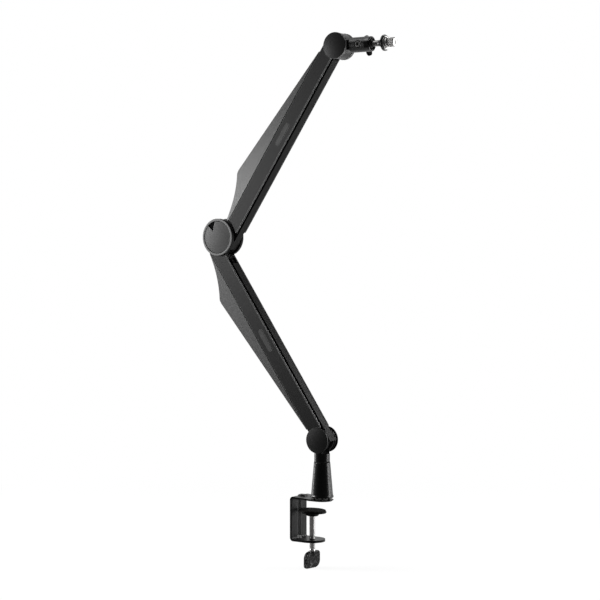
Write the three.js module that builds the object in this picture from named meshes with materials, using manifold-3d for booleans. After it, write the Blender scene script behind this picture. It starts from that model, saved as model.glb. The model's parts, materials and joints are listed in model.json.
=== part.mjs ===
// Desk-clamp microphone boom arm: a C clamp with a turning pillar, two cased arms with a
// fin-shaped spine cover and a concealed balance spring each, and a ball head with a 5/8 inch
// microphone thread. Millimetres, +Z up. The origin is on the pillar's axis, on the face of
// the jaw pad that rests on the desk. The arms swing in the XZ plane and +X points over the desk.
import * as THREE from "three";
import { mergeVertices } from "three/addons/utils/BufferGeometryUtils.js";
import Module from "manifold-3d";

const wasm = await Module();
wasm.setup();

// Fits and facets that every piece shares
const gap = 0.3;
const overrun = 3;
const edge = 0.8;
const capRings = 3;
const wideSides = 28;
const smallSides = 24;
const roundSides = 16;
const hiddenSides = 12;
const pinSides = 10;
const hexSides = 6;
const bendSteps = 4;
const arcSteps = 5;
const planSteps = 9;

// Arms
const armLength = 400;
const lowerLean = THREE.MathUtils.degToRad(-31.6);
const upperLean = THREE.MathUtils.degToRad(37.6);
const lowerPivotHeight = 103.1;

// Hinges: layers from the middle outwards, and the discs that close them
const channelClear = 5.7;
const channelWall = 1.5;
const tongueWall = 3.5;
const washerThickness = 1;
const smallCheekRadius = 22;
const smallCheekWall = 3.4;
const elbowCheekRadius = 32.4;
const elbowCheekWall = 3.6;
const elbowRimWidth = 3.8;
const elbowRimDrop = 0.6;
const elbowGroove = 0.9;
const boltRadius = 4;
const boltHeadRadius = 6.6;
const boltHeadHeight = 3.2;
const boltSeatWall = 1.8;
const headPocketClearance = 0.8;
const capRoof = 1.4;
const smallCapDome = 1.7;
const elbowCapDome = 1.1;
const washerInset = 7;
const crankReach = 12;
const crankBossRadius = 6.4;
const crankEndRadius = 3.6;
const crankHalf = 2.6;
const crankPinRadius = 1.6;
const notchFloorWall = 0.7;
const notchSweep = [THREE.MathUtils.degToRad(73), THREE.MathUtils.degToRad(101)];
const notchTipAngle = THREE.MathUtils.degToRad(98);
const notchTipShare = 0.6;

// Casing of each arm
const caseWidth = 26.5;
const shellWall = 2.7;
const rootInset = 3.8;
const tipInset = 1;
const forkEndGap = 1.5;
const elbowEndGap = 4.6;
const caseCornerRadius = 9;
const channelDepth = 11;
const channelProud = 1;
const ledgeWall = 1.5;
const ledgeSetBack = 6.5;
const ledgeMargin = 3;
const heelDropLower = 12;
const heelDropUpper = 4.4;
const tabRiseLower = 7;
const tabRiseUpper = 12.7;
const lowerBeamStop = 52;
const upperBeamStop = 26;
const shellScrewFromRoot = 52;
const shellScrewFromTip = 66;
const shellScrewRadius = 1.5;
const shellScrewHeadRadius = 2.7;
const shellScrewHeadHeight = 1.5;
const shellBossWall = 1.6;
const shellBlindWall = 1.8;
const shellArcSteps = 6;
const badgeLength = 42;
const badgeWidth = 7.5;
const badgeDepth = 1;
const badgeProud = 0.25;
const lowerBadgeFromElbow = 203;
const upperBadgeFromElbow = 221;

// Spine cover: heights above the casing's outer edge, at distances from the elbow's pivot
const spineDraft = 0.25;
const spineWall = 2;
const spinePeakHeight = 37.3;
const spinePeakRound = 4;
const spineEndHeight = 2.6;
const spineCurveSteps = 8;
const spineLipLength = 22;
const spineLipReach = 5;
const spineLipWall = 1.4;
const spineEndClearance = 4;
const lowerSpineStart = 14;
const lowerSpineStartHeight = 2.8;
const lowerSpinePeak = 93;
const lowerSpineBend = [60, 9];
const lowerSpineLipInsets = [32, 74];
const upperSpineStart = 35;
const upperSpineStartHeight = 5;
const upperSpinePeak = 110;
const upperSpineBend = [80, 12];
const upperSpineLipInsets = [21, 52];

// Balance springs
const springWire = 1.1;
const springRadius = 5.8;
const springTurns = 8;
const springPitch = 13.5;
const stepsPerTurn = 8;
const wireSides = 5;
const springPinRadius = 2;
const springHookClearance = 0.45;
const hookSteps = 5;
const springTailShare = 0.12;
const lowerCrankAngle = THREE.MathUtils.degToRad(31.6);
const upperCrankAngle = THREE.MathUtils.degToRad(20);
const lowerSpringPinFromElbow = 95;
const upperSpringPinFromTip = 100;
const springPinInset = 4;
const springPinBossWall = 1.6;
const springPinBossDepth = 1.5;
const springPinBlindWall = 1.2;

// Clamp
const jawPadThickness = 1.2;
const jawPadRadius = 17.5;
const jawPadRun = 14;
const plate = 4;
const bendInside = 2;
const jawOpening = 68;
const clampBack = 51;
const jawHalfWidth = 22;
const jawShoulder = 6;
const topJawRadius = 19.5;
const screwOffset = 20;
const beadHalfWidth = 5;
const beadRise = 2.2;
const beadTopRun = 15;
const beadFootRun = 10;
const beadRamp = 3.5;
const spindleRadius = 4.9;
const spindleHeadRadius = 6.5;
const spindleHeadHeight = 2.6;
const restOpening = 16.5;
const pressurePadThickness = 1.5;
const pressurePadInset = 1.2;
const pressurePlateRadius = 24;
const pressurePlateEdge = 2.9;
const pressureHubRadius = 13.5;
const pressureHubFootRadius = 10;
const pressureHubDrop = 6.6;
const spindleSeatWall = 1.2;
const spindleLip = 2;
const paddleDrop = 16.8;
const paddleHalfWidth = 19;
const paddleHeight = 28.5;
const paddleThickness = 6.5;
const paddleTurn = -8;
const paddleCornerRadius = 9;
const paddleEase = 1.2;
const paddleHubRadius = 7;
const paddleHubDepth = 11;
const paddleHubFootRadius = 3;
const paddleBoreDepth = 9;

// Pillar
const neckRadius = 13.3;
const seamFromPivot = 37.4;
const swivelWasherThickness = 1;
const swivelWasherRadius = 13.5;
const forkFloorGap = 1.3;
const forkCheekInset = 2.3;
const forkRootRun = 5;
const shaftRadius = 8;
const shaftInNeck = 9.5;
const shaftFootHeight = 12;
const bushWall = 3.2;
const bushFoot = 15;
const clipThickness = 1.1;
const clipDrop = 1.6;
const clipReach = 2.2;
const clipRoom = 0.8;
const clipGrooveDepth = 1;
const coneTopRadius = 13.9;
const coneFootRadius = 18.6;
const coneLipRadius = 19.5;
const coneLipHeight = 2.6;
const coneFillet = 1.6;
const coneScrewCircle = 14.8;
const coneScrewRadius = 1.75;
const coneScrewHeadRadius = 3.3;
const coneScrewHeadHeight = 2;
const coneScrewLength = 12;
const coneScrewCount = 3;

// Head
const knuckleEyeInset = 0.6;
const neckHalfHeight = 8;
const barrelRadius = 12.5;
const barrelStart = 24.5;
const barrelEnd = 64.4;
const barrelShoulder = 5;
const shoulderSteps = 3;
const barrelChamfer = 1.2;
const barrelSlit = 1.4;
const slitRootFromBolt = 9;
const knuckleBoltX = 43.8;
const knuckleBoltRadius = 3;
const knuckleBoltHeadRadius = 5.4;
const knuckleBoltHeadHeight = 3;
const knuckleBoltRecess = 3.6;
const knuckleHexRadius = 2.9;
const knuckleHexDepth = 1.8;
const recessRadius = 6.5;
const wingSeatDepth = 2.1;
const wingHubRadius = 6.2;
const wingHubHeight = 7;
const wingRootRadius = 3.2;
const wingSpan = 17.2;
const wingLobeRadius = 6;
const wingThickness = 5.4;
const wingLift = 3;
const wingTilt = -11;
const boltTail = 1.2;
const ballCentre = 59;
const ballRadius = 8;
const ballSteps = 5;
const seatWall = 0.6;
const seatReach = THREE.MathUtils.degToRad(74);
const throatReach = THREE.MathUtils.degToRad(68);
const mouthRadius = 10.6;
const stemRadius = 4.3;
const stemLength = 9.4;
const flareRun = 11;
const flareWaistShare = 0.72;
const flareWaistRadius = 5.4;
const flareSteps = 4;
const flangeRadius = 13.3;
const flangeThickness = 3;
const tailRadius = 4;
const tailLength = 6.7;
const lockRingRadius = 11;
const lockRingThickness = 2.1;
const ringSlack = 0.9;
const shoulderRadius = 9.5;
const shoulderLength = 2.7;
const threadRadius = 7.94;
const threadLength = 12.5;
const threadChamfer = 1.2;
const undercutDepth = 0.9;
const undercutLength = 1.6;

// Materials
function finish(color, roughness, metalness) {
  return new THREE.MeshStandardMaterial({ color, roughness, metalness });
}
const casingFinish = finish(0x2e2f31, 0.52, 0);
const spineFinish = finish(0x3a3b3d, 0.5, 0);
const badgeFinish = finish(0x505255, 0.4, 0);
const capFinish = finish(0x2b2c2e, 0.42, 0);
const coatFinish = finish(0x141415, 0.35, 0.3);
const beamFinish = finish(0x202123, 0.4, 0.4);
const steelFinish = finish(0xb9bbbd, 0.25, 1);
const darkSteelFinish = finish(0x3c3d40, 0.35, 1);
const rubberFinish = finish(0x101011, 0.85, 0);
const nylonFinish = finish(0xd6d3c8, 0.6, 0);

// Layers across the hinges, worked out from the sizes above
const channelHalf = channelClear + channelWall;
const tongueHalf = channelClear + tongueWall;
const cheekInner = tongueHalf + gap + washerThickness + gap;
const caseHalf = cheekInner + shellWall;
const boltSeat = cheekInner + boltSeatWall;
const boltHeadTop = boltSeat + gap + boltHeadHeight;
const capHollowTop = boltHeadTop + gap;
const drumHalf = capHollowTop + capRoof;
const pocketRadius = boltHeadRadius + headPocketClearance;
const capHollowRadius = pocketRadius + headPocketClearance;
const elbowRimInner = elbowCheekRadius - elbowRimWidth;
const elbowCapRadius = elbowRimInner - elbowGroove;
const boreRadius = boltRadius + gap;

// Turns a closed geometry into a solid: shared corners merged, flat faces dropped, faces out
function solidOf(geometry) {
  const bare = geometry.clone();
  bare.deleteAttribute("normal");
  bare.deleteAttribute("uv");
  const merged = mergeVertices(bare);
  const points = merged.attributes.position.array;
  const corners = merged.index.array;
  const kept = [];
  const a = new THREE.Vector3();
  const b = new THREE.Vector3();
  const c = new THREE.Vector3();
  let volume = 0;
  for (let i = 0; i < corners.length; i += 3) {
    const [p, q, r] = [corners[i], corners[i + 1], corners[i + 2]];
    if (p === q || q === r || r === p) continue;
    kept.push(p, q, r);
    a.fromArray(points, p * 3);
    b.fromArray(points, q * 3);
    c.fromArray(points, r * 3);
    volume += a.dot(b.cross(c));
  }
  if (volume < 0) kept.reverse();
  return new wasm.Manifold(
    new wasm.Mesh({
      numProp: 3,
      vertProperties: new Float32Array(points),
      triVerts: new Uint32Array(kept),
    }),
  );
}

function join(...solids) {
  return solids.reduce((whole, next) => whole.add(next));
}

function cut(solid, ...tools) {
  return tools.reduce((left, tool) => left.subtract(tool), solid);
}

function geometryOf(solid) {
  const { vertProperties, triVerts } = solid.getMesh();
  const geometry = new THREE.BufferGeometry();
  geometry.setAttribute("position", new THREE.BufferAttribute(vertProperties, 3));
  geometry.setIndex(new THREE.BufferAttribute(triVerts, 1));
  geometry.computeVertexNormals();
  return geometry;
}

function piece(name, solid, material) {
  const mesh = new THREE.Mesh(geometryOf(solid), material);
  mesh.name = name;
  return mesh;
}

// A profile of [radius, height] points turned about Z, closed on itself or on the axis
function turned(profile, sides) {
  const points = profile.map(([radius, height]) => new THREE.Vector2(radius, height));
  if (points[0].x > 0) points.push(points[0].clone());
  return new THREE.LatheGeometry(points, sides).rotateX(Math.PI / 2);
}

function turnedAboutZ(profile, sides, x = 0, y = 0) {
  return solidOf(turned(profile, sides).translate(x, y, 0));
}

function turnedAboutX(profile, sides) {
  return solidOf(turned(profile, sides).rotateY(Math.PI / 2));
}

// Turned about Y, with heights counted outwards on the front (-Y) or rear (+Y) side
function turnedAboutY(side, profile, sides, x = 0, z = 0) {
  const geometry = turned(profile, sides).rotateX(side > 0 ? -Math.PI / 2 : Math.PI / 2);
  return solidOf(geometry.translate(x, 0, z));
}

function rodAlongY(radius, from, to, sides, x = 0, z = 0) {
  return turnedAboutY(1, [[0, from], [radius, from], [radius, to], [0, to]], sides, x, z);
}

function rodAlongZ(radius, from, to, sides, x = 0, y = 0) {
  return turnedAboutZ([[0, from], [radius, from], [radius, to], [0, to]], sides, x, y);
}

function block(from, to) {
  const size = to.map((value, i) => value - from[i]);
  const middle = to.map((value, i) => (value + from[i]) / 2);
  return solidOf(new THREE.BoxGeometry(...size).translate(...middle));
}

// A flat outline drawn in X and Z, given its thickness from y = from to y = to
function slab(shape, from, to, curveSegments = arcSteps) {
  const geometry = new THREE.ExtrudeGeometry(shape, {
    depth: to - from,
    bevelEnabled: false,
    curveSegments,
  });
  return solidOf(geometry.rotateX(Math.PI / 2).translate(0, to, 0));
}

// The same with chamfered rims
function easedSlab(shape, from, to, ease, curveSegments = arcSteps) {
  const geometry = new THREE.ExtrudeGeometry(shape, {
    depth: to - from - 2 * ease,
    bevelEnabled: true,
    bevelThickness: ease,
    bevelSize: ease,
    bevelOffset: -ease,
    bevelSegments: 1,
    curveSegments,
  });
  return solidOf(geometry.rotateX(Math.PI / 2).translate(0, to - ease, 0));
}

// A flat outline drawn in X and Y, given its thickness from z = from to z = to
function floorSlab(shape, from, to, curveSegments = planSteps) {
  const geometry = new THREE.ExtrudeGeometry(shape, {
    depth: to - from,
    bevelEnabled: false,
    curveSegments,
  });
  return solidOf(geometry.translate(0, 0, from));
}

function polygon(points) {
  return new THREE.Shape(points.map(([x, z]) => new THREE.Vector2(x, z)));
}

// Outline round two circles of unlike size, such as a lever's
function leverShape(x0, z0, radius0, x1, z1, radius1) {
  const along = Math.atan2(z1 - z0, x1 - x0);
  const spread = Math.acos((radius0 - radius1) / Math.hypot(x1 - x0, z1 - z0));
  const shape = new THREE.Shape();
  shape.absarc(x0, z0, radius0, along + spread, along - spread + 2 * Math.PI, false);
  shape.absarc(x1, z1, radius1, along - spread, along + spread, false);
  return shape;
}

// Straight-sided body through sections that have the same number of points
function lofted(sections) {
  const count = sections[0].length;
  const points = sections.flat().flat();
  const faces = [];
  for (let s = 0; s + 1 < sections.length; s += 1) {
    for (let i = 0; i < count; i += 1) {
      const next = (i + 1) % count;
      const [a, b] = [s * count + i, s * count + next];
      const [c, d] = [a + count, b + count];
      faces.push(a, b, d, a, d, c);
    }
  }
  const last = (sections.length - 1) * count;
  for (let i = 1; i + 1 < count; i += 1) {
    faces.push(0, i + 1, i);
    faces.push(last, last + i, last + i + 1);
  }
  const geometry = new THREE.BufferGeometry();
  geometry.setAttribute("position", new THREE.Float32BufferAttribute(points, 3));
  geometry.setIndex(faces);
  return solidOf(geometry);
}

// Round wire along a row of points, with its frame carried on from point to point
function wireAlong(path, radius, sides) {
  const tangents = path.map((_, i) => {
    const from = path[Math.max(i - 1, 0)];
    const to = path[Math.min(i + 1, path.length - 1)];
    return to.clone().sub(from).normalize();
  });
  let normal = new THREE.Vector3(0, 1, 0);
  const sections = path.map((point, i) => {
    const tangent = tangents[i];
    normal = normal.clone().addScaledVector(tangent, -normal.dot(tangent)).normalize();
    const binormal = tangent.clone().cross(normal);
    return Array.from({ length: sides }, (_, k) => {
      const turn = (2 * Math.PI * k) / sides;
      const spoke = normal.clone().multiplyScalar(Math.cos(turn) * radius);
      return spoke.addScaledVector(binormal, Math.sin(turn) * radius).add(point).toArray();
    });
  });
  return lofted(sections);
}

// Hinge pieces

// Front is side -1 and rear is side 1; a layer lies between two depths on that side
function layer(side, inside, outside) {
  return [side * inside, side * outside].sort((a, b) => a - b);
}

function smallCheek(side, z) {
  const face = cheekInner + smallCheekWall;
  return turnedAboutY(side, [
    [0, cheekInner],
    [smallCheekRadius, cheekInner],
    [smallCheekRadius, face],
    [0, face],
  ], smallSides, 0, z);
}

// Elbow cheek, with a raised rim round the cap
function elbowCheek(side, z) {
  const floor = cheekInner + elbowCheekWall;
  const rimTop = drumHalf - elbowRimDrop;
  return turnedAboutY(side, [
    [0, cheekInner],
    [elbowCheekRadius, cheekInner],
    [elbowCheekRadius, rimTop - edge],
    [elbowCheekRadius - edge, rimTop],
    [elbowRimInner, rimTop],
    [elbowRimInner, floor],
    [0, floor],
  ], wideSides, 0, z);
}

// Hole for the bolt, with the pocket that takes its head or nut
function hingeHole(side, z) {
  return turnedAboutY(side, [
    [0, cheekInner - overrun],
    [boreRadius, cheekInner - overrun],
    [boreRadius, boltSeat],
    [pocketRadius, boltSeat],
    [pocketRadius, drumHalf + overrun],
    [0, drumHalf + overrun],
  ], pinSides, 0, z);
}

// Domed cap, hollow over the bolt's head
function cap(side, radius, base, dome, sides) {
  const shoulder = drumHalf - dome;
  const crown = Array.from({ length: capRings + 1 }, (_, i) => {
    const share = Math.cos((Math.PI / 2) * (i / capRings));
    return [(radius - edge) * share, drumHalf - dome * share * share];
  });
  crown[capRings][0] = 0;
  return turnedAboutY(side, [
    [0, capHollowTop],
    [capHollowRadius, capHollowTop],
    [capHollowRadius, base],
    [radius, base],
    [radius, shoulder - edge],
    ...crown,
  ], sides);
}

function smallCap(name, side) {
  const base = cheekInner + smallCheekWall + gap;
  return piece(name, cap(side, smallCheekRadius, base, smallCapDome, smallSides), capFinish);
}

// Elbow cap, with a wedge notch at its rim for lifting it out
function elbowCap(name, side) {
  const base = cheekInner + elbowCheekWall + gap;
  const rim = elbowCapRadius + overrun;
  const tip = elbowCapRadius * notchTipShare;
  const notch = polygon([
    [rim * Math.cos(notchSweep[0]), rim * Math.sin(notchSweep[0])],
    [rim * Math.cos(notchSweep[1]), rim * Math.sin(notchSweep[1])],
    [tip * Math.cos(notchTipAngle), tip * Math.sin(notchTipAngle)],
  ]);
  const cutter = slab(notch, ...layer(side, base + notchFloorWall, drumHalf + overrun));
  const body = cap(side, elbowCapRadius, base, elbowCapDome, wideSides);
  return piece(name, cut(body, cutter), capFinish);
}

// Through bolt: button head on the front side, plain end inside the rear nut
function pivotBolt(name) {
  const headBase = boltSeat + gap;
  const head = turnedAboutY(-1, [
    [0, headBase],
    [boltHeadRadius, headBase],
    [boltHeadRadius, boltHeadTop - edge],
    [boltHeadRadius - edge, boltHeadTop],
    [0, boltHeadTop],
  ], pinSides);
  const shank = rodAlongY(boltRadius, -headBase - edge, boltHeadTop, pinSides);
  return piece(name, join(head, shank), darkSteelFinish);
}

function pivotNut(name) {
  const from = boltSeat + gap;
  const body = rodAlongY(boltHeadRadius, from, boltHeadTop, hexSides);
  const bore = rodAlongY(boreRadius, from - overrun, boltHeadTop + overrun, pinSides);
  return piece(name, cut(body, bore), darkSteelFinish);
}

function frictionWasher(name, side, cheekRadius) {
  const from = tongueHalf + gap;
  const to = from + washerThickness;
  const outer = cheekRadius - washerInset;
  const profile = [[boreRadius, from], [outer, from], [outer, to], [boreRadius, to]];
  return piece(name, turnedAboutY(side, profile, hiddenSides), nylonFinish);
}

function crankPoint(angle) {
  return [crankReach * Math.sin(angle), crankReach * Math.cos(angle)];
}

// Crank keyed on the hinge bolt: the spring hooks on its pin, in front of the lever
function crank(name, angle) {
  const [x, z] = crankPoint(angle);
  const lever = leverShape(0, 0, crankBossRadius, x, z, crankEndRadius);
  const body = join(
    slab(lever, gap, crankHalf),
    rodAlongY(crankBossRadius, -crankHalf, crankHalf, hiddenSides),
    rodAlongY(crankPinRadius, -crankHalf, crankHalf, pinSides, x, z),
  );
  const bore = rodAlongY(boreRadius, -crankHalf - overrun, crankHalf + overrun, pinSides);
  return piece(name, cut(body, bore), darkSteelFinish);
}

// Arms. In an arm's own frame Z runs from its root pivot to its tip pivot and +X is the
// inner side, the one the arm folds towards.
function armLayout(sizes) {
  const rootInner = sizes.rootCheek - rootInset;
  const tipOuter = tipInset - sizes.tipCheek;
  const slope = (tipOuter + caseWidth - rootInner) / armLength;
  const inner = (z) => rootInner + slope * z;
  const outer = (z) => inner(z) - caseWidth;
  return {
    ...sizes,
    slope,
    inner,
    outer,
    eyeRadius: rootInner + channelProud,
    screwHeights: [shellScrewFromRoot, armLength - shellScrewFromTip],
    pinX: outer(sizes.pinHeight) + springPinInset,
  };
}

const lowerArm = armLayout({
  rootCheek: smallCheekRadius,
  caseStart: smallCheekRadius - forkCheekInset + forkEndGap,
  tipCheek: elbowCheekRadius,
  heelDrop: heelDropLower,
  tabRise: tabRiseLower,
  beamStop: lowerBeamStop,
  badgeHeight: armLength - lowerBadgeFromElbow,
  crankAngle: lowerCrankAngle,
  pinHeight: armLength - lowerSpringPinFromElbow,
  fromElbow: (distance) => armLength - distance,
});

const upperArm = armLayout({
  rootCheek: elbowCheekRadius,
  caseStart: elbowCheekRadius + elbowEndGap,
  tipCheek: smallCheekRadius,
  heelDrop: heelDropUpper,
  tabRise: tabRiseUpper,
  beamStop: upperBeamStop,
  badgeHeight: upperBadgeFromElbow,
  crankAngle: upperCrankAngle,
  pinHeight: armLength - upperSpringPinFromTip,
  fromElbow: (distance) => distance,
});

// Strip of the casing between two heights, from one line to another beside its inner edge
function strip(arm, insetFrom, insetTo, from, to) {
  return polygon([
    [arm.inner(from) - insetFrom, from],
    [arm.inner(to) - insetFrom, to],
    [arm.inner(to) - insetTo, to],
    [arm.inner(from) - insetTo, from],
  ]);
}

function screwX(arm, z) {
  return arm.inner(z) - channelDepth / 2;
}

// Beam: a channel open to the outer side, which ends in a forked tongue round the pivot
function beam(name, arm) {
  const top = armLength - arm.beamStop;
  const { eyeRadius, heelDrop, tabRise } = arm;
  const flange = strip(arm, channelDepth, -channelProud, 0, top);
  const web = strip(arm, channelWall - channelProud, -channelProud, 0, top);
  const heel = polygon([[0, -heelDrop], [eyeRadius, -heelDrop], [eyeRadius, tabRise], [0, tabRise]]);
  const tabInside = eyeRadius - channelWall;
  const tab = polygon([
    [tabInside, -heelDrop],
    [eyeRadius, -heelDrop],
    [eyeRadius, tabRise],
    [tabInside, tabRise],
  ]);
  const plates = [-1, 1].flatMap((side) => [
    slab(flange, ...layer(side, channelClear, channelHalf)),
    slab(heel, ...layer(side, channelClear, tongueHalf)),
    rodAlongY(eyeRadius, ...layer(side, channelClear, tongueHalf), roundSides),
  ]);
  const body = join(
    slab(web, -channelHalf, channelHalf),
    slab(tab, -tongueHalf, tongueHalf),
    ...plates,
  );
  const reach = tongueHalf + overrun;
  const screwHoles = arm.screwHeights.map((z) =>
    rodAlongY(shellScrewRadius + gap, -reach, reach, pinSides, screwX(arm, z), z),
  );
  const bore = rodAlongY(boreRadius, -reach, reach, pinSides);
  return piece(name, cut(body, bore, ...screwHoles), beamFinish);
}

// Point where an edge of the casing, or a line beside it, meets the arc round the root pivot
function meetArc(arm, offset, radius) {
  const a = 1 + arm.slope * arm.slope;
  const b = arm.slope * offset;
  const z = (Math.sqrt(b * b - a * (offset * offset - radius * radius)) - b) / a;
  return [offset + arm.slope * z, z];
}

function shellOutline(arm) {
  const start = arm.caseStart;
  const [outerX, outerZ] = meetArc(arm, arm.outer(0), start);
  const [innerX, innerZ] = meetArc(arm, arm.inner(0), start);
  const cornerAngle = Math.atan2(innerZ, innerX) + caseCornerRadius / start;
  const cornerTop = innerZ + caseCornerRadius;
  const shape = new THREE.Shape();
  shape.absarc(0, 0, start, Math.atan2(outerZ, outerX), cornerAngle, true);
  shape.quadraticCurveTo(innerX, innerZ, arm.inner(cornerTop), cornerTop);
  shape.lineTo(arm.inner(armLength), armLength);
  shape.lineTo(arm.outer(armLength), armLength);
  shape.closePath();
  return shape;
}

function badgeShape(arm, clearance) {
  const radius = badgeWidth / 2 + clearance;
  const half = badgeLength / 2 - badgeWidth / 2;
  const middle = (z) => arm.inner(z) - caseWidth / 2;
  const [low, high] = [arm.badgeHeight - half, arm.badgeHeight + half];
  return leverShape(middle(low), low, radius, middle(high), high, radius);
}

// Side shell: a plate with the tip's cheek moulded on, a ledge that closes the groove
// beside the beam, and bosses for the screws and the spring's pin
function shell(name, arm, side, cheek) {
  const ledgeFoot = channelHalf + gap;
  const ledge = strip(
    arm,
    ledgeSetBack + ledgeWall,
    ledgeSetBack,
    arm.caseStart + ledgeMargin,
    armLength - arm.tipCheek - ledgeMargin,
  );
  const screwRod = (radius, from, to) =>
    arm.screwHeights.map((z) =>
      rodAlongY(radius, ...layer(side, from, to), pinSides, screwX(arm, z), z),
    );
  const pinRod = (radius, from, to) =>
    rodAlongY(radius, ...layer(side, from, to), pinSides, arm.pinX, arm.pinHeight);
  const holeRadius = shellScrewRadius + gap;
  const pinHole = springPinRadius + gap;
  const body = join(
    easedSlab(shellOutline(arm), ...layer(side, cheekInner, caseHalf), edge, shellArcSteps),
    cheek(side, armLength),
    slab(ledge, ...layer(side, ledgeFoot, cheekInner + edge)),
    ...screwRod(holeRadius + shellBossWall, ledgeFoot, cheekInner + edge),
    pinRod(pinHole + springPinBossWall, cheekInner - springPinBossDepth, cheekInner + edge),
  );
  const holes = [
    hingeHole(side, armLength),
    pinRod(pinHole, cheekInner - overrun, caseHalf - springPinBlindWall),
  ];
  if (side < 0) {
    const blind = caseHalf - shellBlindWall;
    const pocket = slab(badgeShape(arm, gap), -caseHalf - overrun, badgeDepth - caseHalf);
    holes.push(pocket, ...screwRod(holeRadius, ledgeFoot - overrun, blind));
  } else {
    const seat = caseHalf - shellScrewHeadHeight - gap;
    holes.push(...screwRod(holeRadius, ledgeFoot - overrun, caseHalf + overrun));
    holes.push(...screwRod(shellScrewHeadRadius + gap, seat, caseHalf + overrun));
  }
  return piece(name, cut(body, ...holes), casingFinish);
}

function shellScrew(name, arm, z) {
  const headBase = caseHalf - shellScrewHeadHeight;
  const x = screwX(arm, z);
  const head = rodAlongY(shellScrewHeadRadius, headBase, caseHalf, pinSides, x, z);
  const shank = rodAlongY(shellScrewRadius, -cheekInner, headBase + edge, pinSides, x, z);
  return piece(name, join(head, shank), darkSteelFinish);
}

function badge(name, arm) {
  const shape = badgeShape(arm, 0);
  return piece(name, slab(shape, -caseHalf - badgeProud, badgeDepth - caseHalf - gap), badgeFinish);
}

// Spine cover: two flat drafted flanks that meet at a narrow ridge, hollow inside
function spineProfile({ start, startHeight, bend, peak, end }) {
  const rise = new THREE.QuadraticBezierCurve(
    new THREE.Vector2(start, startHeight),
    new THREE.Vector2(...bend),
    new THREE.Vector2(peak, spinePeakHeight),
  );
  const fall = (spinePeakHeight - spineEndHeight) / (end - peak);
  const curve = rise.getPoints(spineCurveSteps).map(({ x, y }) => [x, y]);
  const [lastX, lastY] = curve.pop();
  const [beforeX, beforeY] = curve[curve.length - 1];
  const share = spinePeakRound / Math.hypot(lastX - beforeX, lastY - beforeY);
  curve.push([lastX + (beforeX - lastX) * share, lastY + (beforeY - lastY) * share]);
  curve.push([peak + spinePeakRound, spinePeakHeight - fall * spinePeakRound]);
  curve.push([end, spineEndHeight]);
  return curve;
}

// Body between the casing's outer edge and the ridge; a cavity is lowered by the wall and
// carried on past the open base
function spineBody(arm, profile, half, wall, past) {
  const sections = profile.map(([distance, rise]) => {
    const z = arm.fromElbow(distance);
    const base = arm.outer(z) - gap;
    const ridge = rise - wall;
    const baseHalf = half + spineDraft * past;
    const ridgeHalf = half - spineDraft * ridge;
    return [
      [base + past, -baseHalf, z],
      [base - ridge, -ridgeHalf, z],
      [base - ridge, ridgeHalf, z],
      [base + past, baseHalf, z],
    ];
  });
  return lofted(sections);
}

function spineCover(name, arm, sizes) {
  const profile = spineProfile(sizes);
  const heightAt = (distance) => {
    const after = Math.max(profile.findIndex(([d]) => d >= distance), 1);
    const [[d0, h0], [d1, h1]] = [profile[after - 1], profile[after]];
    return h0 + ((h1 - h0) * (distance - d0)) / (d1 - d0);
  };
  const [first, last] = [sizes.start + spineWall, sizes.end - spineWall];
  const between = profile.filter(([d]) => d > first && d < last);
  const cavity = [[first, heightAt(first)], ...between, [last, heightAt(last)]];
  const innerHalf = caseHalf - spineWall * Math.hypot(1, spineDraft);
  const outside = spineBody(arm, profile, caseHalf, 0, 0);
  const inside = spineBody(arm, cavity, innerHalf, spineWall, overrun);
  const lips = sizes.lips.flatMap((distance) => [-1, 1].map((side) => spineLip(arm, side, distance)));
  return piece(name, join(cut(outside, inside), ...lips), spineFinish);
}

// Lip of the spine cover that snaps in between the shells
function spineLip(arm, side, distance) {
  const ends = [arm.fromElbow(distance), arm.fromElbow(distance + spineLipLength)];
  const [from, to] = ends.sort((a, b) => a - b);
  const hold = spineLipWall;
  const shape = polygon([
    [arm.outer(from) - hold, from],
    [arm.outer(to) - hold, to],
    [arm.outer(to) + spineLipReach, to],
    [arm.outer(from) + spineLipReach, from],
  ]);
  const outside = cheekInner - gap;
  const foot = polygon([
    [arm.outer(from) - gap - hold, from],
    [arm.outer(to) - gap - hold, to],
    [arm.outer(to) - gap, to],
    [arm.outer(from) - gap, from],
  ]);
  return join(
    slab(shape, ...layer(side, outside - spineLipWall, outside)),
    slab(foot, ...layer(side, outside - spineLipWall, caseHalf - spineWall)),
  );
}

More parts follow.
